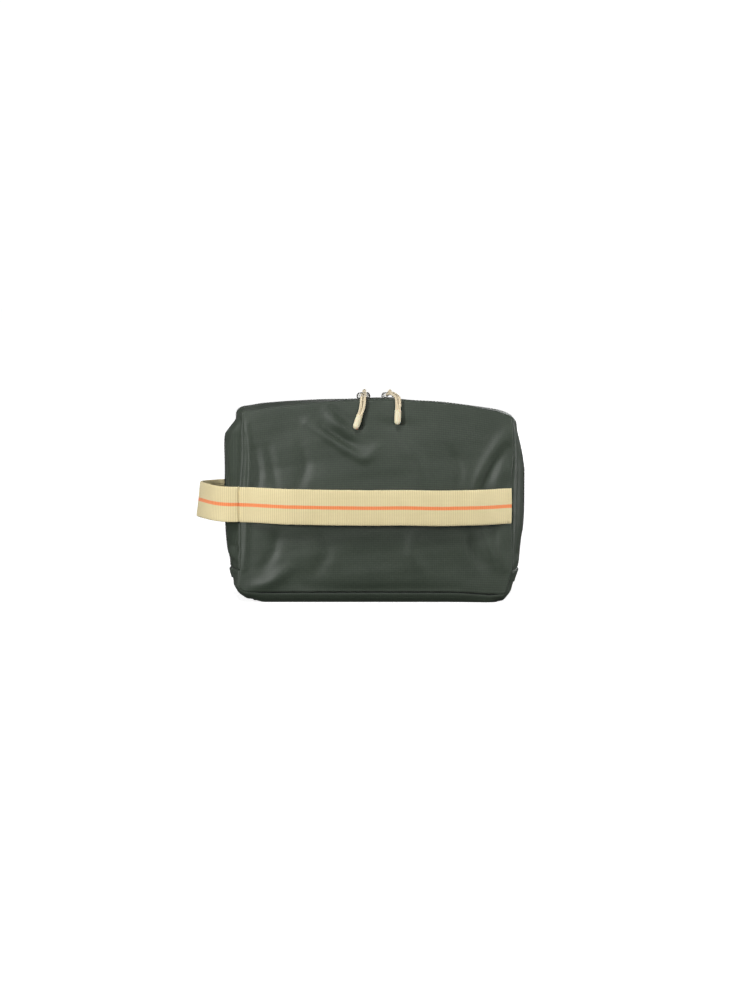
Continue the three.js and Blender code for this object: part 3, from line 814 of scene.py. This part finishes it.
def panel_points(facing, top, grid, depth=0.0, creases=(), wrinkle=1.0):
    """A domed panel with its creases, over a grid of x and z."""
    x, z = grid
    middle = (PANEL_FOOT + top) / 2
    reach = (top - PANEL_FOOT) / 2
    inward = edge_distance(x, z, top)
    dome = DOME * (1 - (x / HALF_WIDTH) ** 2) * (1 - ((z - middle) / reach) ** 2)
    near = np.exp(-np.maximum(inward, 0) / (7 * MM))
    pucker = waves(x, z, 26 * MM, 21) * 0.2 * MM * near
    broad = waves(x, z, 44 * MM, 3) * 0.3 * MM * (1 - near)
    fine = waves(x, z, 15 * MM, 14) * 0.07 * MM * (1 - near)
    folds = FOLD_STRENGTH * sum(crease(x, z, *c) for c in creases)
    out = dome + wrinkle * (pucker + broad + fine + folds) - turn_in(inward) - depth
    return settled(x, facing * (DEPTH / 2 + out), z)


# ---------------------------------------------------------------- what each piece moves with


def on_flap(piece, *nodes):
    """Cloth of the back flap: its transform is baked into its mesh, and the parts it stands for are
    hidden.
    """
    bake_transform(piece)
    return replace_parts(piece, *nodes) if nodes else piece


def on_root(piece, *nodes):
    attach(piece, "root")
    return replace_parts(piece, *nodes) if nodes else piece


# ---------------------------------------------------------------- sliders, pulls and their cords

SLIDER_REST = {"left": -10.8 * MM, "right": 10 * MM}
SLIDER_TRAVEL_END = 94 * MM


def chain_point(x, depth=0.0):
    """A point on the straight run of the chain, level with the cloth's outer face."""
    z = lerp(BACK_TOP, FRONT_TOP, ZIP_T) + TOP_BULGE - depth
    return settled(x, ZIP_Y, z)


class SliderFrame:
    """A slider's own frame: x along the chain, z up from the cloth's surface."""

    def __init__(self, side):
        rest = SLIDER_REST[side]
        self.origin = chain_point(rest)
        end = chain_point(math.copysign(SLIDER_TRAVEL_END, rest))
        x = unit((end - self.origin) * math.copysign(1, rest))
        self.axes = np.array([x, (0, 1, 0), np.cross(x, (0, 1, 0))])

    def place(self, points):
        return self.origin + np.asarray(points, float) @ self.axes


# Middle line of each doubled pull cord in the slider's frame, in millimetres, as in part.mjs.
PULL_ROUTE = {
    'left': (
        (0, -4.4, 5), (0.2, -9, 4.4), (0.4, -16, 4), (0.4, -23, 3.8), (0, -29.4, 2.9),
        (-0.7, -32, -2.4), (-1.8, -32.7, -7), (-3.4, -33.2, -11.2),
    ),
    'right': (
        (0, -4.4, 5), (1.5, -9, 5.6), (4, -16, 5.6), (6.4, -23, 4.8), (8, -29.4, 2.9),
        (8.7, -31.9, -2), (8.9, -32.5, -6),
    ),
}
CORD_RADIUS = 1.2 * MM
PLATE_TOP = 1.5 * MM
LOOP_RADIUS = 2.1 * MM  # of the cord's middle line round the bar
BAR_HEIGHT = 5.2 * MM
STRAND_OFFSET = 1.35 * MM
STRAND_SPREAD = 0.9 * MM
WRAP = 1.95  # half the angle that the cord goes round the bar, in radians
BRAID_LAY = 5 * MM  # the length of one turn of a strand of the braid
TIP_FLATNESS = 0.9
CORD_IN_TIP = 2 * MM  # how far the cord's ends go into the tip


def pull_cord_path(side):
    """From inside the tip up one strand, round the slider's bar, and down the other strand."""
    route = np.array(PULL_ROUTE[side]) * MM
    last = unit(route[-1] - route[-2])
    middle = smooth_path([*route, route[-1] + last * CORD_IN_TIP], 60)
    along = unit(np.gradient(middle, axis=0))
    side_way = unit(np.array([1, 0, 0]) - along * along[:, :1])
    s = np.linspace(0, 1, len(middle))[:, None]
    lift = STRAND_SPREAD * np.maximum(0, 1 - 3 * s) * np.array([0, 0, 1])
    pinch = 1 - 0.22 * smoothstep((s - 0.75) / 0.25)
    strands = [middle + sign * (side_way * STRAND_OFFSET * pinch + lift) for sign in (-1, 1)]
    angle = np.linspace(-WRAP, WRAP, 26)
    bar = np.stack(
        [
            STRAND_OFFSET * angle / WRAP,
            LOOP_RADIUS * np.cos(angle),
            BAR_HEIGHT + LOOP_RADIUS * np.sin(angle),
        ],
        axis=1,
    )
    whole = np.vstack([strands[0][::-1], bar, strands[1]])
    return resample(smooth_path(whole[::3], 400), 260)


def braided_tube(path, radius, sides=14):
    """A cord whose surface shows its crossing strands."""
    angle = np.linspace(0, 2 * math.pi, sides, endpoint=False)
    at = lengths(path)[:, None]
    lay = 2 * math.pi / BRAID_LAY
    cross = np.cos(3 * angle + lay * at * 3) * np.cos(3 * angle - lay * at * 3)
    grow = radius * (1 + 0.05 * cross)
    ring = np.stack([grow * np.cos(angle), grow * np.sin(angle)], axis=2)
    return sweep(path, ring)


def add_pull(side):
    """One doubled cord and the moulded tip that holds both its ends."""
    place = SliderFrame(side).place
    route = np.array(PULL_ROUTE[side]) * MM
    down = unit(route[-1] - route[-2])
    tip = tip_shape(route[-1], down, place).build(f"pull_tip_{side}_moulded", TIP, "pull_tip")
    path = place(pull_cord_path(side))
    cord = Shape().add(*braided_tube(path, CORD_RADIUS))
    cord = cord.build(f"pull_cord_{side}_braided", CORD, "pull_cord")
    for piece, node in ((tip, f"pull_tip_{side}"), (cord, f"pull_cord_{side}")):
        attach(piece, f"pull_{side}")
        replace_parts(piece, node)
    place(route[-1]).tolist()
    float(lengths(path)[-1])


def tip_shape(end, down, place):
    """A flattened capsule with a collar and two grip grooves."""
    outline = (
        (0, 2.4), (0.15, 2.7), (0.9, 2.8), (1.5, 2.7), (1.9, 2.5), (2.4, 2.65), (3.6, 2.75),
        (6, 2.8), (9.6, 2.75), (10.8, 2.5), (11.6, 2.0), (12.2, 1.3), (12.4, 0.8), (12.5, 0.2),
    )
    along, radius = np.array(outline).T * MM
    side = unit(np.array([1, 0, 0]) - down * down[0])
    over = np.cross(down, side)
    angle = np.linspace(0, 2 * math.pi, 28, endpoint=False)
    around = np.cos(angle)[:, None] * side + TIP_FLATNESS * np.sin(angle)[:, None] * over
    points = end + (GAP + along)[:, None, None] * down + radius[:, None, None] * around
    faces = tube_faces(len(along), len(angle))
    return Shape().add(place(points), faces, flat=[len(faces) - 2])


for side in SLIDER_REST:
    add_pull(side)

# ---------------------------------------------------------------- cloth shell


PANELS = {"back": (-1, BACK_TOP, BACK_CREASES), "front": (1, FRONT_TOP, FRONT_CREASES)}


def panel_shell(name, rows, columns, margin, depth, thickness, wrinkle=1.0):
    facing, top, creases = PANELS[name]
    grid = panel_grid(top, rows, columns, margin)
    layers = [
        panel_points(facing, top, grid, below, creases, wrinkle)
        for below in (depth, depth + thickness)
    ]
    return Shape().add(*shell(*layers, np.dstack(grid)))


def add_panels():
    back = panel_shell("back", 170, 210, SEAM, 0, CLOTH)
    front = panel_shell("front", 130, 160, SEAM, 0, CLOTH)
    slot = "outer_cloth"
    on_flap(back.build("back_panel_cloth", OUTER, slot), "back_panel", "back_panel_foot")
    on_root(front.build("front_panel_cloth", OUTER, slot), "front_panel")


def add_panel_linings():
    margin = LINING_DEPTH + LINING + GAP
    under = CLOTH + 2 * GAP
    back = panel_shell("back", 70, 90, margin, under, LINING, 0.6)
    front = panel_shell("front", 70, 90, margin, under, LINING, 0.6)
    on_flap(back.build("back_lining_cloth", LINED, "lining"), "back_lining", "back_lining_foot")
    on_root(front.build("front_lining_cloth", LINED, "lining"), "front_lining")


def gusset_band(run, start, end, columns, depth, thickness, wrinkle=1.0, edge=None):
    """A closed band of the gusset between two distances from the back seam."""
    distance = spaced(columns, start, end, 0.8)
    t = distance / DEPTH
    depths = depth + (0 if edge is None else edge(distance))
    outer = gusset_points(run, t, depths, wrinkle)
    inner = gusset_points(run, t, depths + thickness, wrinkle)
    along = run_length(run)[:, None]
    weave = np.dstack(np.broadcast_arrays(along, distance[None]))
    return shell(outer, inner, weave)


ZIP_OPENING = 5 * MM  # from the middle of the chain to the cloth's edge
ZIP_FROM_BACK = ZIP_Y - BACK
TAPE_EDGE = 12 * MM
HEM = 0.9 * MM


def hem_towards(edge):
    """The cloth turns under where it ends beside the zip."""

    def depth(distance):
        return turn_in(np.abs(distance - edge) + HEM, HEM)

    return depth


def add_gusset():
    back_edge = ZIP_FROM_BACK - ZIP_OPENING
    front_edge = ZIP_FROM_BACK + ZIP_OPENING
    back = gusset_band("mouth", SEAM, back_edge, 44, 0, CLOTH, edge=hem_towards(back_edge))
    front = gusset_band(
        "mouth", front_edge, DEPTH - SEAM, 80, 0, CLOTH, edge=hem_towards(front_edge)
    )
    base = gusset_band("base", SEAM, DEPTH - SEAM, 90, 0, CLOTH)
    slot = "outer_cloth"
    on_flap(Shape().add(*back).build("back_zip_gusset_cloth", OUTER, slot), "back_zip_gusset")
    on_root(Shape().add(*front).build("front_zip_gusset_cloth", OUTER, slot), "front_zip_gusset")
    on_root(Shape().add(*base).build("base_gusset_cloth", OUTER, slot), "base_gusset")


def add_gusset_linings():
    seam = 2.2 * MM
    back_end = ZIP_FROM_BACK - TAPE_EDGE - GAP
    front_start = ZIP_FROM_BACK + TAPE_EDGE + GAP
    back = gusset_band("mouth", seam, back_end, 14, LINING_DEPTH, LINING, 0.6)
    front = gusset_band("mouth", front_start, DEPTH - seam, 34, LINING_DEPTH, LINING, 0.6)
    base = gusset_band("base", 2 * seam, DEPTH - 2 * seam, 40, BASE_LINING_DEPTH, LINING, 0.3)
    on_flap(
        Shape().add(*back).build("back_gusset_lining_cloth", LINED, "lining"), "back_gusset_lining"
    )
    on_root(
        Shape().add(*front).build("front_gusset_lining_cloth", LINED, "lining"),
        "front_gusset_lining",
    )
    on_root(Shape().add(*base).build("base_lining_cloth", LINED, "lining"), "base_lining")


def add_bindings():
    """Tape folded over the seam allowances, inside the corners between panel and gusset."""
    lining = LINING + GAP
    depth = {"deep_mouth": LINING_DEPTH + lining, "deep_base": BASE_LINING_DEPTH + lining}
    width, height = 2.5 * MM, 5 * MM
    near, far = 4 * MM, DEPTH - 4 * MM - width
    nodes = (
        ("back_seam_binding", "deep_mouth", near, on_flap),
        ("back_seam_binding_foot", "deep_base", near, on_root),
        ("front_seam_binding", "deep_mouth", far, on_root),
        ("front_seam_binding_foot", "deep_base", far, on_root),
    )
    for node, run, start, ride in nodes:
        band = gusset_band(run, start, start + width, 7, depth[run], height, 0.4)
        ride(Shape().add(*band).build(f"{node}_tape", TAPED, "zip_tape"), node)


def add_pocket():
    """A slip pocket of net on the front lining, gathered a little by the elastic at its mouth."""
    foot, mouth, band = 30 * MM, 96 * MM, 10 * MM
    inset, gather_pitch = 22 * MM, 7 * MM
    lies = CLOTH + 3 * GAP + LINING

    def sheet(z_from, z_to, rows, depth, puff):
        z = np.linspace(z_from, z_to, rows)[:, None]
        x = np.linspace(HALF_WIDTH - inset, inset - HALF_WIDTH, 110)[None]
        x, z = np.broadcast_arrays(x, z)
        middle = (PANEL_FOOT + FRONT_TOP) / 2
        reach = (FRONT_TOP - PANEL_FOOT) / 2
        dome = DOME * (1 - (x / HALF_WIDTH) ** 2) * (1 - ((z - middle) / reach) ** 2)
        gather = puff * (0.5 + 0.5 * np.sin(2 * math.pi * x / gather_pitch))
        lift = gather * smoothstep((z - foot) / (mouth - foot)) ** 2
        return settled(x, FRONT + dome - depth - lift, z)

    rows = 40
    net = shell(
        sheet(foot, mouth, rows, lies, 0.9 * MM),
        sheet(foot, mouth, rows, lies + 0.6 * MM, 0.9 * MM),
    )
    elastic = shell(
        sheet(mouth + GAP, mouth + band, 6, lies, 0.7 * MM),
        sheet(mouth + GAP, mouth + band, 6, lies + 1.6 * MM, 0.7 * MM),
    )
    on_root(Shape().add(*net).build("slip_pocket_net", NET, "pocket"), "slip_pocket")
    on_root(Shape().add(*elastic).build("pocket_elastic_band", TAPED, "pocket"), "pocket_elastic")


add_panels()
add_panel_linings()
add_gusset()
add_gusset_linings()
add_bindings()
add_pocket()

# ---------------------------------------------------------------- zip

COIL_PITCH = 1.3 * MM
COIL_WIRE = 0.3 * MM
COIL_REACH = 1.45 * MM  # half the coil's width
COIL_HEIGHT = 0.75 * MM
COIL_CENTRE = 1.3 * MM  # from the middle of the chain to the middle of each half
COIL_SEAT = 0.35 * MM  # how deep the coil's middle lies under the cloth's face
TAPE_START = 0.25 * MM
MOUTH_PART = 1.1 * MM  # how far each half stands away between the sliders


def parted(x, z):
    """How far the chain's halves stand apart: only on the top, between the two sliders."""
    inside = (SLIDER_REST["right"] - x) * (x - SLIDER_REST["left"])
    half = (SLIDER_REST["right"] - SLIDER_REST["left"]) / 2
    share = np.clip(inside / half**2, 0, 1) ** 0.7
    return MOUTH_PART * np.where(z > (BACK_TOP + FOLD) / 2, share, 0)


def chain_line(offset, depth):
    """A line that runs beside the middle of the chain, over the sides and the top."""
    t = [(ZIP_FROM_BACK + offset) / DEPTH]
    return gusset_points("mouth", t, depth, 0)[:, 0]


def coil_half(side):
    """One half of the chain: a nylon wire wound round its tape's edge."""
    centre = chain_line(side * COIL_CENTRE, COIL_SEAT)
    above = chain_line(side * COIL_CENTRE, COIL_SEAT - 1 * MM)
    total = lengths(centre)[-1]
    per_turn = 10
    turns = int(total / COIL_PITCH)
    wanted = np.linspace(0, total, turns * per_turn)
    at = lengths(centre)
    line = interpolated(wanted, at, centre)
    up = unit(interpolated(wanted, at, above - centre))
    phase = 2 * math.pi * wanted / COIL_PITCH + (math.pi if side > 0 else 0)
    away = np.array([0, side, 0])
    shift = parted(line[:, 0], line[:, 2])[:, None]
    swing = COIL_REACH * np.cos(phase)[:, None] + shift
    path = line + away * swing + up * (COIL_HEIGHT * np.sin(phase))[:, None]
    return sweep(path, circle(COIL_WIRE, 5))


def tape_half(side):
    """Half the zip's tape. Its inner edge parts from the other's between the sliders."""
    distance = ZIP_FROM_BACK + side * np.linspace(TAPE_START, TAPE_EDGE, 14)
    layers = []
    for depth in (TAPE_DEPTH, TAPE_DEPTH + TAPE):
        points = gusset_points("mouth", distance / DEPTH, depth, 0)
        share = np.linspace(1, 0, len(distance))[None] ** 2
        points[..., 1] += side * share * parted(points[..., 0], points[..., 2])
        layers.append(points)
    along = run_length("mouth")[:, None]
    return shell(*layers, np.dstack(np.broadcast_arrays(along, distance[None])))


def add_zip():
    for name, side, ride in (("back", -1, on_flap), ("front", 1, on_root)):
        tape = Shape().add(*tape_half(side)).build(f"zip_tape_{name}_weave", TAPED, "zip_tape")
        ride(tape, f"zip_tape_{name}")
        coil = Shape().add(*coil_half(side)).build(f"zip_coil_{name}_wound", COIL, "zip_coil")
        ride(coil, f"zip_coil_{name}")


def add_end_tabs():
    """Cloth tabs folded over the zip's two ends, just below the fold."""
    reach = 8 * MM
    for side, picked in (("left", slice(1, 10)), ("right", slice(-10, -1))):
        distance = np.linspace(ZIP_FROM_BACK - reach, ZIP_FROM_BACK + reach, 17)
        rows = gusset_points("base", distance / DEPTH, 0, 0)[picked]
        under = gusset_points("base", distance / DEPTH, CLOTH, 0)[picked]
        outward = unit(rows - under)
        turned = turn_in(np.abs(np.abs(distance - ZIP_FROM_BACK) - reach) + HEM, HEM)
        lift = (CLOTH + 0.1 * MM - 0.5 * turned)[None, :, None]
        inner = rows + outward * (lift - CLOTH)
        tab = Shape().add(*shell(rows + outward * lift, inner))
        tab = tab.build(f"zip_end_tab_{side}_cloth", OUTER, "outer_cloth")
        on_root(tab, f"zip_end_tab_{side}")


add_zip()
add_end_tabs()

# ---------------------------------------------------------------- sliders

PLATE = 0.6 * MM
PLATE_FLOOR = PLATE_TOP - PLATE
UNDER_PLATE_TOP = -3 * MM
RAIL_HALF = 0.42 * MM  # half a flange's thickness
RAIL_SINK = 0.35 * MM  # from a plate's face to the flange's middle
BRIDGE_WIRE = 0.55 * MM


def slider_outline(grow=0.0):
    """The slider's plate seen from above: a shield, wider where the two halves come in."""
    outline = ((5.5, 1.6), (5.0, 3.0), (3.4, 4.2), (1.0, 4.5), (-1.6, 4.1), (-3.6, 3.3))
    corners = np.array((*outline, (-5.2, 2.6), (-5.5, 1.9)))
    half = corners * MM - grow * unit(corners)
    return np.vstack([half, half[::-1] * (1, -1)])


def plate(z_low, z_high, bevel=0.22 * MM):
    """A plate with softened edges between two heights."""
    levels = ((z_low, bevel), (z_low + bevel, 0), (z_high - bevel, 0), (z_high, bevel))
    rings = [np.column_stack([slider_outline(g), np.full(16, z)]) for z, g in levels]
    return rings_solid(rings)


def rings_solid(rings):
    """A closed solid through rings of points, capped at both ends."""
    faces = tube_faces(len(rings), len(rings[0]))
    return np.vstack(rings), faces, None, range(len(faces))


# The bridge's cheek beside the cord: height, its two ends along the chain, half its width.
CHEEK = ((1.3, 3.0, 5.4, 1.5), (2.6, 3.0, 5.3, 1.35), (4.4, 3.1, 4.9, 1.1), (5.6, 3.4, 4.2, 0.6))


def cheek_ring(z, near, far, half):
    corners = ((near, -half), (far, -half * 0.7), (far, half * 0.7), (near, half))
    return np.array([(x, y, z) for x, y in corners]) * MM


def add_slider(side):
    """Both plates, their flanges, the wedge between them and the bridge that holds the pull."""
    place = SliderFrame(side).place
    towards = math.copysign(1, SLIDER_REST[side])  # the wedge is at the end facing the other slider
    shape = Shape()

    def add(points, faces, weave=None, flat=()):
        points = np.asarray(points, float).reshape(-1, 3) * (towards, 1, 1)
        shape.add(place(points), faces, weave, flat)

    add(*plate(PLATE_FLOOR, PLATE_TOP))
    add(*plate(UNDER_PLATE_TOP - PLATE, UNDER_PLATE_TOP))
    rail = np.array(((-4.8, 2.9), (-3, 3.5), (-1.2, 4.0), (1, 4.1), (3, 3.9), (4.4, 3.2))) * MM
    square = RAIL_HALF * np.array(((-1, -1), (1, -1), (1, 1), (-1, 1)))
    for sign in (-1, 1):
        for z in (PLATE_FLOOR - RAIL_SINK, UNDER_PLATE_TOP + RAIL_SINK):
            line = smooth_path(np.column_stack([rail * (1, sign), np.full(len(rail), z)]), 16)
            add(*sweep(line, square, up=(0, 0, 1)))
    wedge = np.array(
        ((-5.4, 0), (-4.2, 0.9), (-2.6, 0.55), (-1.4, 0), (-2.6, -0.55), (-4.2, -0.9))
    )
    ends = (UNDER_PLATE_TOP, PLATE_FLOOR)
    add(*rings_solid([np.column_stack([wedge * MM, np.full(6, z)]) for z in ends]))
    bridge = (
        (-5.2, 0, 1.3), (-5.3, 0, 2.6), (-4.9, 0, 4.2), (-3.6, 0, 5.0), (0, 0, 5.2),
        (3.6, 0, 5.0), (4.9, 0, 4.2), (5.3, 0, 2.6), (5.2, 0, 1.3),
    )
    line = smooth_path(np.array(bridge) * MM, 40)
    wide = 1 + 2 * smoothstep((np.abs(line[:, 0]) - 3 * MM) / (1.6 * MM))
    ring = np.repeat(circle(BRIDGE_WIRE, 12)[None], len(line), axis=0)
    ring[..., 0] *= wide[:, None]
    add(*sweep(line, ring, up=(0, 0, 1)))
    for sign in (-1, 1):
        add(*rings_solid([cheek_ring(*level) * (sign, 1, 1) for level in CHEEK]))
    piece = shape.build(f"slider_{side}_cast", NICKEL, "slider_metal")
    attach(piece, f"slider_{side}")
    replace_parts(piece, f"slider_{side}")


for side in SLIDER_REST:
    add_slider(side)

# ---------------------------------------------------------------- webbing

WEBBING = 1.6 * MM
STRAP_SEAT = BACK - WEBBING / 2 - GAP
STRAP_BOW = BACK - 17 * MM
STRAP_PATH = (
    (114 * MM, STRAP_SEAT),
    (106 * MM, STRAP_SEAT - 2.6 * MM),
    (80 * MM, STRAP_BOW + 1.4 * MM),
    (66 * MM, STRAP_BOW),
    (0, STRAP_BOW - 0.8 * MM),
    (-62 * MM, STRAP_BOW),
    (-77 * MM, STRAP_BOW + 1.4 * MM),
    (-106 * MM, STRAP_SEAT - 3 * MM),
    (-113 * MM, STRAP_SEAT - 1.4 * MM),
    (-115.1 * MM, STRAP_SEAT - 0.2 * MM),
)
STRAP_HEIGHTS = ((-116, 84.3), (-100, 84.2), (-60, 83.6), (0, 82.9), (60, 82.7), (114, 82.9))
LOOP_PATH = (
    (-116, -54), (-118, -55.2), (-127, -54), (-137, -46.5), (-145, -35), (-150.4, -23),
    (-152, -15), (-150, -7), (-144, 1.5), (-137, 9), (-129.5, 16), (-124.2, 28),
)
LOOP_HEIGHTS = ((0, 84.3), (0.5, 85.8), (1, 84.4))  # (share of its length, height)
LOOP_LEAN = 3.4 * MM  # how much further out the loop's lower edge turns back than its upper edge


def ribbon(path, heights, count, cup=0.0, lean=0.0):
    """Webbing with rounded selvedges and a rib at each weft, its width upright."""
    flat = smooth_path([(x, y, 0) for x, y in path], count)
    along = unit(np.gradient(flat, axis=0))
    out = np.stack([along[:, 1], -along[:, 0], np.zeros(count)], axis=1)
    across = spaced(26, -0.5, 0.5, 0.8)
    half = WEBBING / 2 * np.sqrt(np.clip(1 - (2 * np.abs(across)) ** 14, 0.03, 1))
    arc = lengths(flat)
    rib = 0.04 * MM * np.cos(2 * math.pi * arc / RIB_PITCH)
    tilt = lean * np.sin(math.pi * arc / arc[-1]) ** 2
    wobble = waves(arc, 0 * arc, 60 * MM, 31) * 0.2 * MM
    middle = heights + wobble
    sheets = []
    for sign in (1, -1):
        bow = cup * (1 - (2 * across) ** 2)
        away = bow[None] + sign * half[None] + sign * rib[:, None]
        points = flat[:, None] + out[:, None] * away[..., None]
        points[..., 2] += middle[:, None] + across[None] * WEBBING_WIDTH
        points[..., 0] += tilt[:, None] * across[None]
        sheets.append(points)
    spread = (across + 0.5) * WEBBING_WIDTH
    weave = np.dstack(np.broadcast_arrays(spread[None], arc[:, None]))
    return shell(*sheets, weave)


def add_strap():
    count = 1000
    path = smooth_path([(x, y, 0) for x, y in STRAP_PATH], count)
    heights = profile(path[:, 0] / MM, STRAP_HEIGHTS) * MM
    strap = Shape().add(*ribbon(STRAP_PATH, heights, count, cup=-0.5 * MM))
    strap = strap.build("trolley_strap_webbing", WEBBED, "webbing")
    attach(strap, "flap")
    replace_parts(strap, "trolley_strap")


def add_loop():
    count = 560
    path = [(x * MM, y * MM) for x, y in LOOP_PATH]
    heights = profile(np.linspace(0, 1, count), LOOP_HEIGHTS) * MM
    loop = Shape().add(*ribbon(path, heights, count, cup=0.3 * MM, lean=LOOP_LEAN))
    loop = loop.build("carry_loop_webbing", WEBBED, "webbing")
    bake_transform(loop)
    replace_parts(loop, "carry_loop")


add_strap()
add_loop()

# ---------------------------------------------------------------- stitches


ZIP_STITCH = (2.9 * MM, 0.24 * MM)  # pitch, and the thread's radius
TACK_STITCH = (2.3 * MM, 0.26 * MM)
TACK_X = 111.6  # millimetres


def stitches(path, out, pitch, radius):
    """A row of short threads along a path, each sunk into the cloth at both ends."""
    shape = Shape()
    at = lengths(path)
    count = int(at[-1] / pitch)
    for i in range(count):
        wanted = (i + np.linspace(0.14, 0.86, 6)) * pitch
        line = interpolated(wanted, at, path)
        up = interpolated(wanted, at, out)
        rise = radius * (1.6 * np.sin(np.linspace(0, math.pi, 6)) - 0.8)
        shape.add(*sweep(line + up * rise[:, None], circle(radius, 6)))
    return shape


def add_zip_stitches():
    """Topstitching on the cloth along both sides of the zip."""
    from_edge = 2.2 * MM
    for name, side, ride in (("back", -1, on_flap), ("front", 1, on_root)):
        t = [(ZIP_FROM_BACK + side * (ZIP_OPENING + from_edge)) / DEPTH]
        line = gusset_points("mouth", t, 0)[2:-2, 0]
        under = gusset_points("mouth", t, CLOTH)[2:-2, 0]
        row = stitches(line, unit(line - under), *ZIP_STITCH)
        ride(row.build(f"zip_stitches_{name}", GREEN_THREAD, "outer_cloth"))


def add_strap_tack():
    """A row of stitches across the webbing where it is sewn down beside the right seam."""
    along, away = np.array(STRAP_PATH[::-1]).T
    y = np.interp(TACK_X * MM, along, away) - WEBBING / 2
    z = profile(TACK_X, STRAP_HEIGHTS) * MM
    ends = np.linspace(-0.46, 0.46, 30) * WEBBING_WIDTH
    line = np.column_stack([np.full(30, TACK_X * MM), np.full(30, y), z + ends])
    out = np.tile((0, -1, 0), (30, 1))
    row = stitches(line, out, *TACK_STITCH)
    row.flat = []  # these threads' ends shade as smoothly as their sides
    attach(row.build("strap_stitches", BEIGE_THREAD, "webbing"), "flap")


add_zip_stitches()
add_strap_tack()


def dress_board():
    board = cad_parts["base_board"]
    board.data.materials.clear()
    board.data.materials.append(BOARD)


dress_board()

# ---------------------------------------------------------------- floor and light


BACKDROP_RADIUS = 8.0


def stage_piece(name, points, faces, shader):
    """A piece of the studio: it lights nothing, so the bag's own shadows stay deep."""
    mesh = bpy.data.meshes.new(name)
    mesh.from_pydata(points, [], faces)
    mesh.materials.append(shader)
    made = bpy.data.objects.new(name, mesh)
    bpy.context.scene.collection.objects.link(made)
    made.visible_diffuse = False
    made.visible_glossy = False
    return made


def pale_paper(name, near, far):
    """White paper that glows more far from the bag than near it, where shadows fall."""
    m = Nodes(name, Specular_IOR_Level=0.1)
    place = m.node("TexCoord", "Object")
    away = m.node("VectorMath", "Value", {0: place}, operation="LENGTH")
    glow = m.node("MapRange", 0, {0: away, 1: 0.25, 2: 1.4, 3: near, 4: far})
    m.shader.inputs["Emission Color"].default_value = (1, 1, 1, 1)
    m.put(m.shader.inputs["Emission Strength"], glow)
    grain = m.noise(place, 0.9)
    return m.finish(m.tint(grain, (0.86, 0.86, 0.86), (0.9, 0.9, 0.9)), roughness=0.9)


def add_studio():
    """A pale floor and a white wall all round it."""
    ring = circle(BACKDROP_RADIUS, 64)
    floor = [(x, y, 0) for x, y in ring]
    stage_piece("floor", floor, [tuple(range(64))], pale_paper("floor_paper", 0.75, 1.0))
    heights = (-1, BACKDROP_RADIUS)
    wall = [(x, y, z) for z in heights for x, y in ring]
    faces = [(i, (i + 1) % 64, 64 + (i + 1) % 64, 64 + i) for i in range(64)]
    stage_piece("wall", wall, faces, pale_paper("wall_paper", 1.0, 1.0)).visible_shadow = False


def add_light(name, place, target, size, energy, colour=(1, 1, 1)):
    data = bpy.data.lights.new(name, "AREA")
    data.size = size
    data.energy = energy
    data.color = colour
    light = bpy.data.objects.new(name, data)
    light.location = place
    aim = np.array(target) - np.array(place)
    flat = math.hypot(aim[0], aim[1])
    light.rotation_euler = (math.pi / 2 - math.atan2(-aim[2], flat), 0, math.atan2(-aim[0], aim[1]))
    bpy.context.scene.collection.objects.link(light)


def add_lights():
    middle = (0, 0, 0.09)
    add_light("key", (-1.2, -1.6, 0.42), middle, 0.4, 27)
    add_light("front_right", (0.8, -2.0, 0.3), middle, 0.4, 7)
    add_light("upper", (-0.2, -1.0, 1.2), middle, 0.4, 9.5)
    add_light("right_rim", (1.2, -0.1, 0.3), middle, 0.25, 9)
    add_light("left_rim", (-1.2, 0.1, 0.5), middle, 0.25, 2)
    add_light("behind", (0.7, 2.0, 0.6), middle, 0.5, 9)


def add_world():
    """A dim sky that is darker below the horizon."""
    world = bpy.data.worlds.new("studio")
    world.use_nodes = True
    tree = world.node_tree
    background = tree.nodes["Background"]
    place = tree.nodes.new("ShaderNodeTexCoord")
    split = tree.nodes.new("ShaderNodeSeparateXYZ")
    ramp = tree.nodes.new("ShaderNodeMapRange")
    tree.links.new(place.outputs["Generated"], split.inputs[0])
    tree.links.new(split.outputs["Z"], ramp.inputs[0])
    for socket, value in zip(ramp.inputs[1:5], (-0.25, 0.35, 0.03, 0.16)):
        socket.default_value = value
    tree.links.new(ramp.outputs[0], background.inputs["Strength"])
    bpy.context.scene.world = world
    bpy.context.scene.view_settings.view_transform = "Standard"


add_studio()
add_lights()
add_world()
